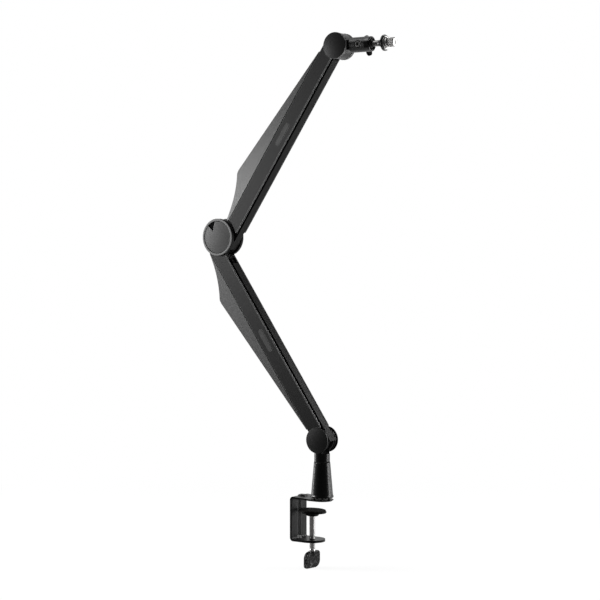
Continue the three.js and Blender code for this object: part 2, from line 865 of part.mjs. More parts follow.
// Balance spring: a hook on the crank's pin, a long tail, the coil and a hook on the anchor
function springPath(arm) {
  const [lowX, lowZ] = crankPoint(arm.crankAngle);
  const low = new THREE.Vector3(lowX, 0, lowZ);
  const axis = new THREE.Vector3(arm.pinX, 0, arm.pinHeight).sub(low);
  const span = axis.length();
  axis.normalize();
  const at = (along, out, deep) =>
    new THREE.Vector3(
      low.x + axis.x * along + axis.z * out,
      deep,
      low.z + axis.z * along - axis.x * out,
    );
  const hook = (centre, radius, direction, deep) =>
    Array.from({ length: hookSteps + 1 }, (_, i) => {
      const turn = (Math.PI * i) / hookSteps;
      return at(centre - direction * radius * Math.sin(turn), -radius * Math.cos(turn), deep);
    });
  const lowHook = crankPinRadius + springHookClearance + springWire;
  const highHook = springPinRadius + springHookClearance + springWire;
  const lowDeep = springWire + gap - crankHalf;
  const coilTop = span - highHook - springRadius;
  const coilFoot = coilTop - springTurns * springPitch;
  const coil = Array.from({ length: springTurns * stepsPerTurn + 1 }, (_, i) => {
    const turn = (2 * Math.PI * i) / stepsPerTurn;
    const along = coilFoot + (springPitch * i) / stepsPerTurn;
    return at(along, springRadius * Math.cos(turn), springRadius * Math.sin(turn));
  });
  return [
    at(2 * lowHook, -lowHook, lowDeep),
    ...hook(0, lowHook, 1, lowDeep),
    at(coilFoot * (1 - springTailShare), lowHook, lowDeep),
    ...coil,
    ...hook(span, highHook, -1, 0).reverse(),
    at(span - 2 * highHook, -highHook, 0),
  ];
}

// Least gap between parts of the wire that are half a turn or more apart along it
function leastGap(path, radius) {
  let least = Infinity;
  path.forEach((point, i) => {
    path.slice(i + stepsPerTurn / 2).forEach((other) => {
      least = Math.min(least, point.distanceTo(other) - 2 * radius);
    });
  });
  return least;
}

function spring(name, arm) {
  const path = springPath(arm);
  console.log(`${name}: least gap between its curls ${leastGap(path, springWire).toFixed(2)} mm`);
  return piece(name, wireAlong(path, springWire, wireSides), darkSteelFinish);
}

function springPin(name, arm) {
  const half = caseHalf - springPinBlindWall - gap;
  const rod = rodAlongY(springPinRadius, -half, half, pinSides, arm.pinX, arm.pinHeight);
  return piece(name, rod, steelFinish);
}

// Clamp: heights of its plates
const jawRoof = jawPadThickness + gap;
const clampTop = jawRoof + plate;
const jawFloor = jawRoof - jawOpening;
const clampFoot = jawFloor - plate;

// Side view of the bent strip
function clampProfile() {
  const outside = bendInside + plate;
  const back = -clampBack;
  const inner = back + plate;
  const reach = Math.max(topJawRadius, jawHalfWidth - screwOffset) + overrun;
  const shape = new THREE.Shape();
  shape.moveTo(reach, clampTop);
  shape.absarc(back + outside, clampTop - outside, outside, Math.PI / 2, Math.PI, false);
  shape.absarc(back + outside, clampFoot + outside, outside, Math.PI, 1.5 * Math.PI, false);
  shape.lineTo(reach, clampFoot);
  shape.lineTo(reach, jawFloor);
  shape.absarc(inner + bendInside, jawFloor + bendInside, bendInside, 1.5 * Math.PI, Math.PI, true);
  shape.absarc(inner + bendInside, jawRoof - bendInside, bendInside, Math.PI, Math.PI / 2, true);
  shape.lineTo(reach, jawRoof);
  shape.closePath();
  return shape;
}

// Plan of a jaw: straight sides at the back, then a round end
function jawPlan(centre, radius, tangent) {
  const back = -clampBack - beadRise - overrun;
  const shoulder = jawShoulder - clampBack;
  const shape = new THREE.Shape();
  shape.moveTo(back, -jawHalfWidth);
  shape.lineTo(shoulder, -jawHalfWidth);
  shape.absarc(centre, 0, radius, -tangent, tangent, false);
  shape.lineTo(shoulder, jawHalfWidth);
  shape.lineTo(back, jawHalfWidth);
  shape.closePath();
  return shape;
}

// The pressed bead, as seen from the side: its raised outside, or the hollow on its inside
function beadProfile(outside) {
  const depth = outside ? 0 : plate;
  const back = depth - clampBack;
  const [top, foot] = [clampTop - depth, clampFoot + depth];
  const corner = bendInside + plate - depth / 2;
  const under = plate - edge / 2;
  const topEnd = beadTopRun - clampBack;
  const footEnd = beadFootRun - clampBack;
  return polygon([
    [topEnd + beadRamp, top],
    [topEnd, top + beadRise],
    [back + corner, top + beadRise],
    [back - beadRise, top - corner],
    [back - beadRise, foot + corner],
    [back + corner, foot - beadRise],
    [footEnd, foot - beadRise],
    [footEnd + beadRamp, foot],
    [footEnd + beadRamp, foot + under],
    [back + under, foot + under],
    [back + under, top - under],
    [topEnd + beadRamp, top - under],
  ]);
}

// Bent steel strip with the pressed bead, the screw's hole and the cone's screw holes
function clampBracket() {
  const middle = (jawRoof + jawFloor) / 2;
  const tangent =
    Math.PI -
    Math.atan2(jawHalfWidth, clampBack - jawShoulder) -
    Math.acos(topJawRadius / Math.hypot(jawHalfWidth, clampBack - jawShoulder));
  const topPlan = jawPlan(0, topJawRadius, tangent);
  const footPlan = jawPlan(-screwOffset, jawHalfWidth, Math.PI / 2);
  const plans = join(
    floorSlab(topPlan, middle, clampTop + beadRise + overrun),
    floorSlab(footPlan, clampFoot - beadRise - overrun, middle),
  );
  const stripBody = slab(clampProfile(), -jawHalfWidth - overrun, jawHalfWidth + overrun, bendSteps);
  const bead = easedSlab(beadProfile(true), -beadHalfWidth, beadHalfWidth, edge);
  const groove = easedSlab(beadProfile(false), -beadHalfWidth, beadHalfWidth, edge);
  const body = cut(join(stripBody.intersect(plans), bead), groove);
  const screwHole = rodAlongZ(
    spindleRadius + gap,
    clampFoot - overrun,
    jawFloor + overrun,
    roundSides,
    -screwOffset,
  );
  const headRoof = jawRoof + 2 * gap + coneScrewHeadHeight;
  const coneHoles = coneScrewPlaces().flatMap(([x, y]) => [
    rodAlongZ(coneScrewRadius + gap, jawRoof - overrun, clampTop + overrun, pinSides, x, y),
    rodAlongZ(coneScrewHeadRadius + gap, jawRoof - overrun, headRoof, pinSides, x, y),
  ]);
  return piece("clamp_bracket", cut(body, screwHole, ...coneHoles), coatFinish);
}

function jawPad() {
  const shape = leverShape(0, 0, jawPadRadius, -jawPadRun, 0, jawPadRadius);
  return piece("jaw_pad", floorSlab(shape, 0, jawPadThickness), rubberFinish);
}

function coneScrewPlaces() {
  return Array.from({ length: coneScrewCount }, (_, i) => {
    const turn = (2 * Math.PI * i) / coneScrewCount;
    return [coneScrewCircle * Math.cos(turn), coneScrewCircle * Math.sin(turn)];
  });
}

function coneScrew(name, [x, y]) {
  const from = jawRoof + gap;
  const neck = from + coneScrewHeadHeight;
  const profile = [
    [0, from],
    [coneScrewHeadRadius, from],
    [coneScrewHeadRadius, neck],
    [coneScrewRadius, neck],
    [coneScrewRadius, from + coneScrewLength],
    [0, from + coneScrewLength],
  ];
  return piece(name, turnedAboutZ(profile, pinSides, x, y), darkSteelFinish);
}

// Pillar: heights from the bracket upwards
const seamHeight = lowerPivotHeight - seamFromPivot;
const coneFoot = clampTop + gap;
const coneTop = seamHeight - swivelWasherThickness / 2 - gap;
const neckFoot = seamHeight + swivelWasherThickness / 2 + gap;
const forkFloor = lowerPivotHeight - smallCheekRadius - forkFloorGap;
const coneBoreRadius = shaftRadius + gap + bushWall + gap;
const clipRadius = shaftRadius + clipReach;
const coneLowerBoreRadius = clipRadius + clipRoom;

// Tapered sleeve with a lip at its foot, bored for the bush
function pillarCone() {
  const lipTop = coneFoot + coneLipHeight;
  const profile = [
    [coneLowerBoreRadius, coneFoot],
    [coneLipRadius - edge, coneFoot],
    [coneLipRadius, coneFoot + edge],
    [coneLipRadius, lipTop],
    [coneFootRadius, lipTop + coneFillet],
    [coneTopRadius, coneTop - edge],
    [coneTopRadius - edge, coneTop],
    [coneBoreRadius, coneTop],
    [coneBoreRadius, bushFoot],
    [coneLowerBoreRadius, bushFoot],
  ];
  const top = jawRoof + 2 * gap + coneScrewLength;
  const holes = coneScrewPlaces().map(([x, y]) =>
    rodAlongZ(coneScrewRadius + gap, coneFoot - overrun, top, pinSides, x, y),
  );
  return piece("pillar_cone", cut(turnedAboutZ(profile, smallSides), ...holes), coatFinish);
}

function coneBush() {
  const inner = shaftRadius + gap;
  const [from, to] = [bushFoot + gap, coneTop - gap];
  const profile = [[inner, from], [inner + bushWall, from], [inner + bushWall, to], [inner, to]];
  return piece("cone_bush", turnedAboutZ(profile, roundSides), nylonFinish);
}

function swivelWasher() {
  const [from, to] = [coneTop + gap, neckFoot - gap];
  const inner = shaftRadius + gap;
  const outer = swivelWasherRadius;
  const profile = [[inner, from], [outer, from], [outer, to], [inner, to]];
  return piece("swivel_washer", turnedAboutZ(profile, roundSides), nylonFinish);
}

// Steel pin fixed in the neck, with a groove at its foot for the retaining ring
function postShaft() {
  const top = neckFoot + shaftInNeck - gap;
  const grooveTop = bushFoot;
  const grooveFoot = grooveTop - clipDrop - gap;
  const profile = [
    [0, shaftFootHeight],
    [shaftRadius - clipGrooveDepth, shaftFootHeight],
    [shaftRadius, shaftFootHeight + edge],
    [shaftRadius, grooveFoot],
    [shaftRadius - clipGrooveDepth, grooveFoot],
    [shaftRadius - clipGrooveDepth, grooveTop],
    [shaftRadius, grooveTop],
    [shaftRadius, top],
    [0, top],
  ];
  return piece("post_shaft", turnedAboutZ(profile, roundSides), steelFinish);
}

function shaftClip() {
  const to = bushFoot - gap;
  const from = to - clipThickness;
  const inner = shaftRadius - clipGrooveDepth + gap;
  const profile = [[inner, from], [clipRadius, from], [clipRadius, to], [inner, to]];
  return piece("shaft_clip", turnedAboutZ(profile, hiddenSides), darkSteelFinish);
}

// Neck with the two cheeks of the lowest hinge
function postFork() {
  const rootTop = lowerPivotHeight - smallCheekRadius + forkRootRun;
  const neck = rodAlongZ(neckRadius, neckFoot, rootTop, smallSides);
  const reach = neckRadius + overrun;
  const slot = block([-reach, -cheekInner, forkFloor], [reach, cheekInner, rootTop + overrun]);
  const radius = smallCheekRadius - forkCheekInset;
  const face = cheekInner + smallCheekWall;
  const cheeks = [-1, 1].map((side) =>
    rodAlongY(radius, ...layer(side, cheekInner, face), wideSides, 0, lowerPivotHeight),
  );
  const holes = [-1, 1].map((side) => hingeHole(side, lowerPivotHeight));
  const bore = rodAlongZ(shaftRadius + gap, neckFoot - overrun, neckFoot + shaftInNeck, roundSides);
  return piece("post_fork", cut(join(cut(neck, slot), ...cheeks), bore, ...holes), coatFinish);
}

// Pressure plate and screw
const padTop = -restOpening;
const plateTop = padTop - pressurePadThickness - gap;
const hubFoot = plateTop - pressurePlateEdge - pressureHubDrop;
const headChamberRadius = spindleHeadRadius + gap;
const spindleTop = plateTop - spindleSeatWall - gap;

function pressurePad() {
  const radius = pressurePlateRadius - pressurePadInset;
  const disc = rodAlongZ(radius, padTop - pressurePadThickness, padTop, wideSides, -screwOffset);
  return piece("pressure_pad", disc, rubberFinish);
}

function pressurePlate() {
  const under = plateTop - pressurePlateEdge;
  const chamberRoof = plateTop - spindleSeatWall;
  const profile = [
    [0, plateTop],
    [pressurePlateRadius - edge, plateTop],
    [pressurePlateRadius, plateTop - edge],
    [pressurePlateRadius, under + edge],
    [pressurePlateRadius - edge, under],
    [pressureHubRadius, under],
    [pressureHubFootRadius, hubFoot],
    [spindleRadius + gap, hubFoot],
    [spindleRadius + gap, hubFoot + spindleLip],
    [headChamberRadius, hubFoot + spindleLip],
    [headChamberRadius, chamberRoof],
    [0, chamberRoof],
  ];
  return piece("pressure_plate", turnedAboutZ(profile, wideSides, -screwOffset), coatFinish);
}

const paddleRoof = clampFoot - paddleDrop;

// Screw with a head held captive in the hub and its plain end inside the paddle
function clampSpindle() {
  const headFoot = spindleTop - spindleHeadHeight;
  const foot = paddleRoof - paddleBoreDepth + gap;
  const profile = [
    [0, foot],
    [spindleRadius, foot],
    [spindleRadius, headFoot],
    [spindleHeadRadius, headFoot],
    [spindleHeadRadius, spindleTop],
    [0, spindleTop],
  ];
  return piece("clamp_spindle", turnedAboutZ(profile, roundSides, -screwOffset), steelFinish);
}

// Flat handle, round cornered, that faces +X and -X, with a socket for the screw
function thumbPaddle() {
  const foot = paddleRoof - paddleHeight;
  const radius = paddleCornerRadius;
  const [x, z] = [paddleHalfWidth - radius, paddleHeight / 2 - radius];
  const middle = (paddleRoof + foot) / 2;
  const shape = new THREE.Shape();
  shape.absarc(x, z, radius, 0, Math.PI / 2, false);
  shape.absarc(-x, z, radius, Math.PI / 2, Math.PI, false);
  shape.absarc(-x, -z, radius, Math.PI, 1.5 * Math.PI, false);
  shape.absarc(x, -z, radius, 1.5 * Math.PI, 2 * Math.PI, false);
  const half = paddleThickness / 2;
  const blade = easedSlab(shape, -half, half, paddleEase, bendSteps)
    .rotate([0, 0, 90])
    .rotate([0, 0, paddleTurn])
    .translate([-screwOffset, 0, middle]);
  const hubEnd = paddleRoof - paddleHubDepth;
  const hub = turnedAboutZ([
    [0, paddleRoof],
    [paddleHubRadius - edge, paddleRoof],
    [paddleHubRadius, paddleRoof - edge],
    [paddleHubRadius, hubEnd],
    [paddleHubFootRadius, hubEnd - paddleHubRadius],
    [0, hubEnd - paddleHubRadius],
  ], roundSides, -screwOffset);
  const floor = paddleRoof - paddleBoreDepth;
  const bore = rodAlongZ(spindleRadius + gap, floor, paddleRoof + overrun, roundSides, -screwOffset);
  return piece("thumb_paddle", cut(join(blade, hub), bore), rubberFinish);
}

// Head, drawn with the top hinge's pivot at the origin and the microphone towards +X
const sphereBore = ballRadius + gap + seatWall + gap;
const stemStart = Math.asin(stemRadius / ballRadius);
const flareStart = ballCentre + ballRadius + stemLength;
const flangeBack = flareStart + flareRun;
const flangeFace = flangeBack + flangeThickness;
const wingSeat = barrelRadius - wingSeatDepth;

// Points of a sphere's half section from its back pole to an angle measured from +X
function spherePoints(radius, reach) {
  return Array.from({ length: ballSteps + 1 }, (_, i) => {
    const turn = Math.PI - ((Math.PI - reach) * i) / ballSteps;
    return [i === 0 ? 0 : radius * Math.sin(turn), ballCentre + radius * Math.cos(turn)];
  });
}

// Eye, neck and barrel; the barrel is bored for the ball, slit and drilled for its bolt
function micKnuckle() {
  const waist = barrelRadius - barrelShoulder;
  const shoulder = Array.from({ length: shoulderSteps + 1 }, (_, i) => {
    const turn = ((Math.PI / 2) * i) / shoulderSteps;
    return [
      waist + barrelShoulder * Math.sin(turn),
      barrelStart + barrelShoulder * (1 - Math.cos(turn)),
    ];
  });
  const barrel = turnedAboutX([
    [0, barrelStart],
    ...shoulder,
    [barrelRadius, barrelEnd - barrelChamfer],
    [barrelRadius - barrelChamfer, barrelEnd],
    [0, barrelEnd],
  ], roundSides);
  const eyeRadius = smallCheekRadius - knuckleEyeInset;
  const eye = rodAlongY(eyeRadius, -tongueHalf, tongueHalf, smallSides);
  const neck = block(
    [boreRadius + overrun, -tongueHalf, -neckHalfHeight],
    [barrelStart + barrelShoulder, tongueHalf, neckHalfHeight],
  );
  const mouth = turnedAboutX([
    ...spherePoints(sphereBore, throatReach),
    [mouthRadius, barrelEnd],
    [mouthRadius, barrelEnd + overrun],
    [0, barrelEnd + overrun],
  ], roundSides);
  const pivotBore = rodAlongY(boreRadius, -tongueHalf - overrun, tongueHalf + overrun, pinSides);
  const reach = barrelRadius + overrun;
  const slitRoot = knuckleBoltX - slitRootFromBolt;
  const slit = block([slitRoot, -barrelSlit / 2, -reach], [barrelEnd + overrun, barrelSlit / 2, reach]);
  const boltHole = rodAlongY(knuckleBoltRadius + gap, -reach, reach, pinSides, knuckleBoltX);
  const headRecess = rodAlongY(
    recessRadius,
    -reach,
    knuckleBoltRecess - barrelRadius,
    hiddenSides,
    knuckleBoltX,
  );
  const wingFlat = rodAlongY(recessRadius + gap, wingSeat, reach, hiddenSides, knuckleBoltX);
  const body = join(eye, neck, barrel);
  const solid = cut(body, mouth, pivotBore, slit, boltHole, headRecess, wingFlat);
  return piece("mic_knuckle", solid, coatFinish);
}

// Socket-head bolt through the barrel
function clampBolt() {
  const headFoot = barrelRadius - knuckleBoltRecess + gap;
  const headTop = headFoot + knuckleBoltHeadHeight;
  const tail = wingSeat + gap + wingHubHeight + boltTail;
  const head = turnedAboutY(-1, [
    [0, headFoot],
    [knuckleBoltHeadRadius, headFoot],
    [knuckleBoltHeadRadius, headTop - edge],
    [knuckleBoltHeadRadius - edge, headTop],
    [0, headTop],
  ], roundSides, knuckleBoltX);
  const shank = rodAlongY(knuckleBoltRadius, -headFoot - edge, tail, pinSides, knuckleBoltX);
  const socket = rodAlongY(
    knuckleHexRadius,
    -headTop - overrun,
    knuckleHexDepth - headTop,
    hexSides,
    knuckleBoltX,
  );
  return piece("clamp_bolt", cut(join(head, shank), socket), darkSteelFinish);
}

// Wing nut on the rear end of the clamp bolt
function wingNut() {
  const foot = wingSeat + gap;
  const top = foot + wingHubHeight;
  const hub = turnedAboutY(1, [
    [0, foot],
    [wingHubRadius, foot],
    [wingHubRadius - edge, top],
    [0, top],
  ], roundSides);
  const root = foot + wingHubHeight / 2;
  const lobeDepth = foot + wingLift + wingLobeRadius;
  const lobeReach = wingSpan - wingLobeRadius;
  const shape = leverShape(lobeDepth, lobeReach, wingLobeRadius, root, 0, wingRootRadius);
  const half = wingThickness / 2;
  const lobe = easedSlab(shape, -half, half, edge).rotate([0, 0, 90]);
  const bore = rodAlongY(knuckleBoltRadius + gap, foot - overrun, top + overrun, pinSides);
  const nut = cut(join(hub, lobe, lobe.rotate([0, 180, 0])), bore);
  return piece("wing_nut", nut.rotate([0, wingTilt, 0]).translate([knuckleBoltX, 0, 0]), coatFinish);
}

// Thin cup between ball and barrel
function ballSeat() {
  const outside = spherePoints(sphereBore - gap, seatReach);
  const inside = spherePoints(ballRadius + gap, seatReach);
  const profile = [...outside, ...inside.reverse()];
  return piece("ball_seat", turnedAboutX(profile, roundSides), nylonFinish);
}

// Ball, stem and flared flange turned from one bar
function ballStud() {
  const flare = new THREE.QuadraticBezierCurve(
    new THREE.Vector2(stemRadius, flareStart),
    new THREE.Vector2(flareWaistRadius, flareStart + flareRun * flareWaistShare),
    new THREE.Vector2(flangeRadius - edge, flangeBack),
  );
  const bore = tailRadius + gap;
  const profile = [
    ...spherePoints(ballRadius, stemStart),
    ...flare.getPoints(flareSteps).map(({ x, y }) => [x, y]),
    [flangeRadius, flangeBack + edge],
    [flangeRadius, flangeFace - edge],
    [flangeRadius - edge, flangeFace],
    [bore, flangeFace],
    [bore, flangeFace - tailLength - gap],
    [0, flangeFace - tailLength - gap],
  ];
  return piece("ball_stud", turnedAboutX(profile, roundSides), coatFinish);
}

const ringBack = flangeFace + gap;
const ringFront = ringBack + lockRingThickness;
const shoulderBack = ringFront + ringSlack;
const shoulderFace = shoulderBack + shoulderLength;

// Bright turned adapter: tail in the flange, shoulder and thread
function threadAdapter() {
  const end = shoulderFace + threadLength;
  const root = threadRadius - undercutDepth;
  const profile = [
    [0, flangeFace - tailLength],
    [tailRadius, flangeFace - tailLength],
    [tailRadius, ringBack],
    [threadRadius, ringBack],
    [threadRadius, shoulderBack],
    [shoulderRadius, shoulderBack],
    [shoulderRadius, shoulderFace],
    [root, shoulderFace],
    [root, shoulderFace + undercutLength],
    [threadRadius, shoulderFace + undercutLength + undercutDepth],
    [threadRadius, end - threadChamfer],
    [threadRadius - threadChamfer, end],
    [0, end],
  ];
  return piece("thread_adapter", turnedAboutX(profile, roundSides), steelFinish);
}

function lockRing() {
  const inner = threadRadius + gap;
  const profile = [
    [inner, ringBack],
    [lockRingRadius - edge, ringBack],
    [lockRingRadius, ringBack + edge],
    [lockRingRadius, ringFront - edge],
    [lockRingRadius - edge, ringFront],
    [inner, ringFront],
  ];
  return piece("lock_ring", turnedAboutX(profile, smallSides), steelFinish);
}

// Everything of one arm that turns with it
function armPieces(prefix, rootName, arm, cheek, spineSizes) {
  return [
    beam(`${prefix}_beam`, arm),
    shell(`${prefix}_shell_front`, arm, -1, cheek),
    shell(`${prefix}_shell_rear`, arm, 1, cheek),
    ...arm.screwHeights.map((z, i) => shellScrew(`${prefix}_screw_${i + 1}`, arm, z)),
    spineCover(`${prefix}_spine_cover`, arm, spineSizes),
    badge(`${prefix}_badge`, arm),
    spring(`${prefix}_spring`, arm),
    springPin(`${prefix}_spring_pin`, arm),
    frictionWasher(`${rootName}_washer_front`, -1, arm.rootCheek),
    frictionWasher(`${rootName}_washer_rear`, 1, arm.rootCheek),
  ];
}

// Turns pieces about Y by an arm's lean and carries them to a pivot
function placed(meshes, lean, [x, z]) {
  meshes.forEach((mesh) => mesh.geometry.rotateY(lean).translate(x, 0, z));
  return meshes;
}

function tipOf([x, z], lean) {
  return [x + armLength * Math.sin(lean), z + armLength * Math.cos(lean)];
}

const lowerPivot = [0, lowerPivotHeight];
const elbowPivot = tipOf(lowerPivot, lowerLean);
const topPivot = tipOf(elbowPivot, upperLean);

// Both spine covers end short of the small cheek at their arm's far hinge
const spineEnd = armLength - smallCheekRadius - spineEndClearance;

const lowerSpine = {
  start: lowerSpineStart,
  startHeight: lowerSpineStartHeight,
  bend: lowerSpineBend,
  peak: lowerSpinePeak,
  end: spineEnd,
  lips: [lowerSpineStart + lowerSpineLipInsets[0], spineEnd - lowerSpineLipInsets[1]],
};

const upperSpine = {
  start: upperSpineStart,
  startHeight: upperSpineStartHeight,
  bend: upperSpineBend,
  peak: upperSpinePeak,
  end: spineEnd,
  lips: [upperSpineStart + upperSpineLipInsets[0], spineEnd - upperSpineLipInsets[1]],
};

const clampPieces = [
  clampBracket(),
  jawPad(),
  pillarCone(),
  coneBush(),
  ...coneScrewPlaces().map((place, i) => coneScrew(`cone_screw_${i + 1}`, place)),
  pressurePad(),
  pressurePlate(),
  clampSpindle(),
  thumbPaddle(),
  swivelWasher(),
  postShaft(),
  shaftClip(),
  postFork(),
];

const lowerHingePieces = [
  smallCap("lower_cap_front", -1),
  smallCap("lower_cap_rear", 1),
  pivotBolt("lower_pivot_bolt"),
  pivotNut("lower_pivot_nut"),
];

const elbowPieces = [
  elbowCap("elbow_cap_front", -1),
  elbowCap("elbow_cap_rear", 1),
  pivotBolt("elbow_bolt"),
  pivotNut("elbow_nut"),
];

const topPieces = [
  smallCap("top_cap_front", -1),
  smallCap("top_cap_rear", 1),
  pivotBolt("top_bolt"),
  pivotNut("top_nut"),
];

const headPieces = [
  micKnuckle(),
  frictionWasher("knuckle_washer_front", -1, smallCheekRadius),
  frictionWasher("knuckle_washer_rear", 1, smallCheekRadius),
  clampBolt(),
  wingNut(),
  ballSeat(),
  ballStud(),
  threadAdapter(),
  lockRing(),
];

const assembly = new THREE.Group();
assembly.name = "microphone_boom_arm";
assembly.add(
  ...clampPieces,
  ...placed(lowerHingePieces, 0, lowerPivot),
  ...placed([crank("lower_crank", lowerCrankAngle)], lowerLean, lowerPivot),
  ...placed(armPieces("lower", "lower", lowerArm, elbowCheek, lowerSpine), lowerLean, lowerPivot),
  ...placed(elbowPieces, lowerLean, elbowPivot),
  ...placed([crank("elbow_crank", upperCrankAngle)], upperLean, elbowPivot),
  ...placed(armPieces("upper", "elbow", upperArm, smallCheek, upperSpine), upperLean, elbowPivot),
  ...placed(topPieces, upperLean, topPivot),
  ...placed(headPieces, 0, topPivot),
);
export default assembly;
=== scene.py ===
import json
from math import acos, asin, atan2, ceil, cos, degrees, hypot, pi, radians, sin

import bmesh
import bpy
from mathutils import Matrix, Vector

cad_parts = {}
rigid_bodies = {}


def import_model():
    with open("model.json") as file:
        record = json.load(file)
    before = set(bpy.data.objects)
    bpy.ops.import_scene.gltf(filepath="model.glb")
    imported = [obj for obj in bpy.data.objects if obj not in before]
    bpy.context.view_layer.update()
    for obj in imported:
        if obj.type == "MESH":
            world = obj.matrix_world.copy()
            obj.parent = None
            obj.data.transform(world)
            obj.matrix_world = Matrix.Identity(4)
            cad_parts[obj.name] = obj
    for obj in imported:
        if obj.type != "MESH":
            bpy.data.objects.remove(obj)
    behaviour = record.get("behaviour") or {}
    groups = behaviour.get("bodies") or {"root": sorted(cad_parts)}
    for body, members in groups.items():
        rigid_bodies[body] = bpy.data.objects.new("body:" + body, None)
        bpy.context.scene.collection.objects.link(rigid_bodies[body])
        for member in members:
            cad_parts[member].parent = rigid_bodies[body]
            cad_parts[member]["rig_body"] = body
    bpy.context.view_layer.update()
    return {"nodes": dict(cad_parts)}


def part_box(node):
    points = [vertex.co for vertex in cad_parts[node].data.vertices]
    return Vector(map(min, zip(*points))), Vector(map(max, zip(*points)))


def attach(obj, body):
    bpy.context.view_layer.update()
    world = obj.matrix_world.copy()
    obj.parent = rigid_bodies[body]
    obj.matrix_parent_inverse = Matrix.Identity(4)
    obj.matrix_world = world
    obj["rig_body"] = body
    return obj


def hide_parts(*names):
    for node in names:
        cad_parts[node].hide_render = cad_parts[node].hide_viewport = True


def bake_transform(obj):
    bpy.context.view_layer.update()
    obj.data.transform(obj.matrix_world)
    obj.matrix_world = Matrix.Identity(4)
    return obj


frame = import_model()

# Clamp bracket. A 4 mm steel strip, bent into a C and stiffened by one pressed bead, then
# powder coated satin black. Its edges are lighter, partly scuffed and partly painted highlight,
# and a painted highlight line runs along each side of the bead.
mm = 0.001


class Wire:
    """One socket of a finish. Arithmetic on it adds Math nodes, and add() puts in any other node."""

    def __init__(self, socket):
        self.socket = socket

    def add(self, kind, settings, sockets, out=0):
        tree = self.socket.id_data
        made = tree.nodes.new(kind)
        for name, value in settings.items():
            setattr(made, name, value)
        for name, value in sockets.items():
            if isinstance(value, Wire):
                tree.links.new(value.socket, made.inputs[name])
            else:
                made.inputs[name].default_value = value
        return Wire(made.outputs[out]) if made.outputs else None

    def maths(self, operation, first, second):
        return self.add("ShaderNodeMath", {"operation": operation}, {0: first, 1: second})

    def __add__(self, other):
        return self.maths("ADD", self, other)

    def __radd__(self, other):
        return self.maths("ADD", other, self)

    def __sub__(self, other):
        return self.maths("SUBTRACT", self, other)

    def __rsub__(self, other):
        return self.maths("SUBTRACT", other, self)

    def __mul__(self, other):
        return self.maths("MULTIPLY", self, other)

    def __rmul__(self, other):
        return self.maths("MULTIPLY", other, self)

    def __pow__(self, other):
        return self.maths("POWER", self, other)

    def __abs__(self):
        return self.maths("ABSOLUTE", self, 0)

    def __lt__(self, other):
        return self.maths("LESS_THAN", self, other)

    def __gt__(self, other):
        return self.maths("GREATER_THAN", self, other)


def coordinate(place, axis):
    """One coordinate of a place: "X", "Y" or "Z"."""
    return place.add("ShaderNodeSeparateXYZ", {}, {0: place}, out=axis)


def clamped(value):
    """A value held between 0 and 1."""
    return value.add("ShaderNodeClamp", {}, {"Value": value})


def vector(operation, first, second=(0, 0, 0), out=0):
    """Vector maths. Its number, such as a distance, is output 1."""
    return first.add("ShaderNodeVectorMath", {"operation": operation}, {0: first, 1: second}, out)


def grey(level, warmth=0.0):
    """A near grey, a little warmer or cooler than neutral."""
    return (level * (1 + warmth), level, level * (1 - warmth), 1)


def speckle(place, size, detail=2.0):
    """Noise whose lumps are about one size across."""
    return place.add("ShaderNodeTexNoise", {}, {"Vector": place, "Scale": 1 / size, "Detail": detail})


def between(place, low, high, share):
    """One colour fading into another."""
    mix = {"data_type": "RGBA"}
    return place.add("ShaderNodeMix", mix, {"Factor": share, 6: low, 7: high}, out=2)


def eased_normal(place, radius):
    """The surface's normal with its sharp edges broken by a small radius."""
    return place.add("ShaderNodeBevel", {"samples": 16}, {"Radius": radius})


def edge_wear_and_highlight(place, radius, strength):
    """1 along outer and inner edges, 0 on the flats. A colour lightened with it is partly scuffing and
    partly painted highlight on the rounded edges.
    """
    shape = place.add("ShaderNodeNewGeometry", {}, {}, out=1)
    turn = vector("DOT_PRODUCT", eased_normal(place, radius), shape, 1)
    return clamped((1 - turn) * strength)


def bumped(place, height, depth, radius):
    """A small relief on top of the eased normal."""
    sockets = {"Height": height, "Distance": depth, "Normal": eased_normal(place, radius)}
    return place.add("ShaderNodeBump", {}, sockets)


def emptied(owner, output):
    """Clears the nodes of a material or world, and gives the place that new ones start from."""
    owner.use_nodes = True
    owner.node_tree.nodes.clear()
    return Wire(owner.node_tree.nodes.new("ShaderNodeTexCoord").outputs[output])


def surface(colour, roughness, specular, normal, metallic=0.0):
    """What a look gives to the shader's sockets."""
    return {
        "Base Color": colour,
        "Roughness": roughness,
        "Specular IOR Level": specular,
        "Normal": normal,
        "Metallic": metallic,
    }


def finish(name, look):
    """A material worked out from the place on the object at rest, in metres."""
    material = bpy.data.materials.new(name)
    place = emptied(material, "Object")
    shader = place.add("ShaderNodeBsdfPrincipled", {}, look(place))
    place.add("ShaderNodeOutputMaterial", {"target": "ALL"}, {"Surface": shader})
    return material


def coat_look(shine, bead_side=None):
    """Satin black powder coat with lighter edges, partly scuffed and partly painted highlight, and painted
    highlight lines along the sides of a pressed bead.
    """

    def look(place):
        peel = speckle(place, 1.1 * mm, 3)
        cloud = speckle(place, 16 * mm)
        # Lighter edges: partly scuffing, partly painted highlight.
        worn_and_lit = edge_wear_and_highlight(place, 0.7 * mm, 2.2) * (0.35 + 0.65 * speckle(place, 5 * mm))
        colour = between(place, grey(0.001), grey(0.35 * shine, 0.02), worn_and_lit * 0.8)
        if bead_side:
            # Painted highlight: a lighter line along each flank of the bead, on the back plate only.
            off_side = abs(abs(coordinate(place, "Y")) - bead_side)
            bead_highlight = clamped((bead_line - off_side) * 1200) * (coordinate(place, "X") < bead_front)
            colour = between(place, colour, grey(0.11), bead_highlight)
        roughness = 0.3 + 0.08 * cloud + 0.06 * peel
        return surface(colour, roughness, shine, bumped(place, peel, 0.05 * mm, 0.45 * mm))

    return look


bead_side, bead_line, bead_front = 4.4 * mm, 1.3 * mm, -41 * mm
black_coat = finish("black_powder_coat", coat_look(shine=0.14, bead_side=bead_side))

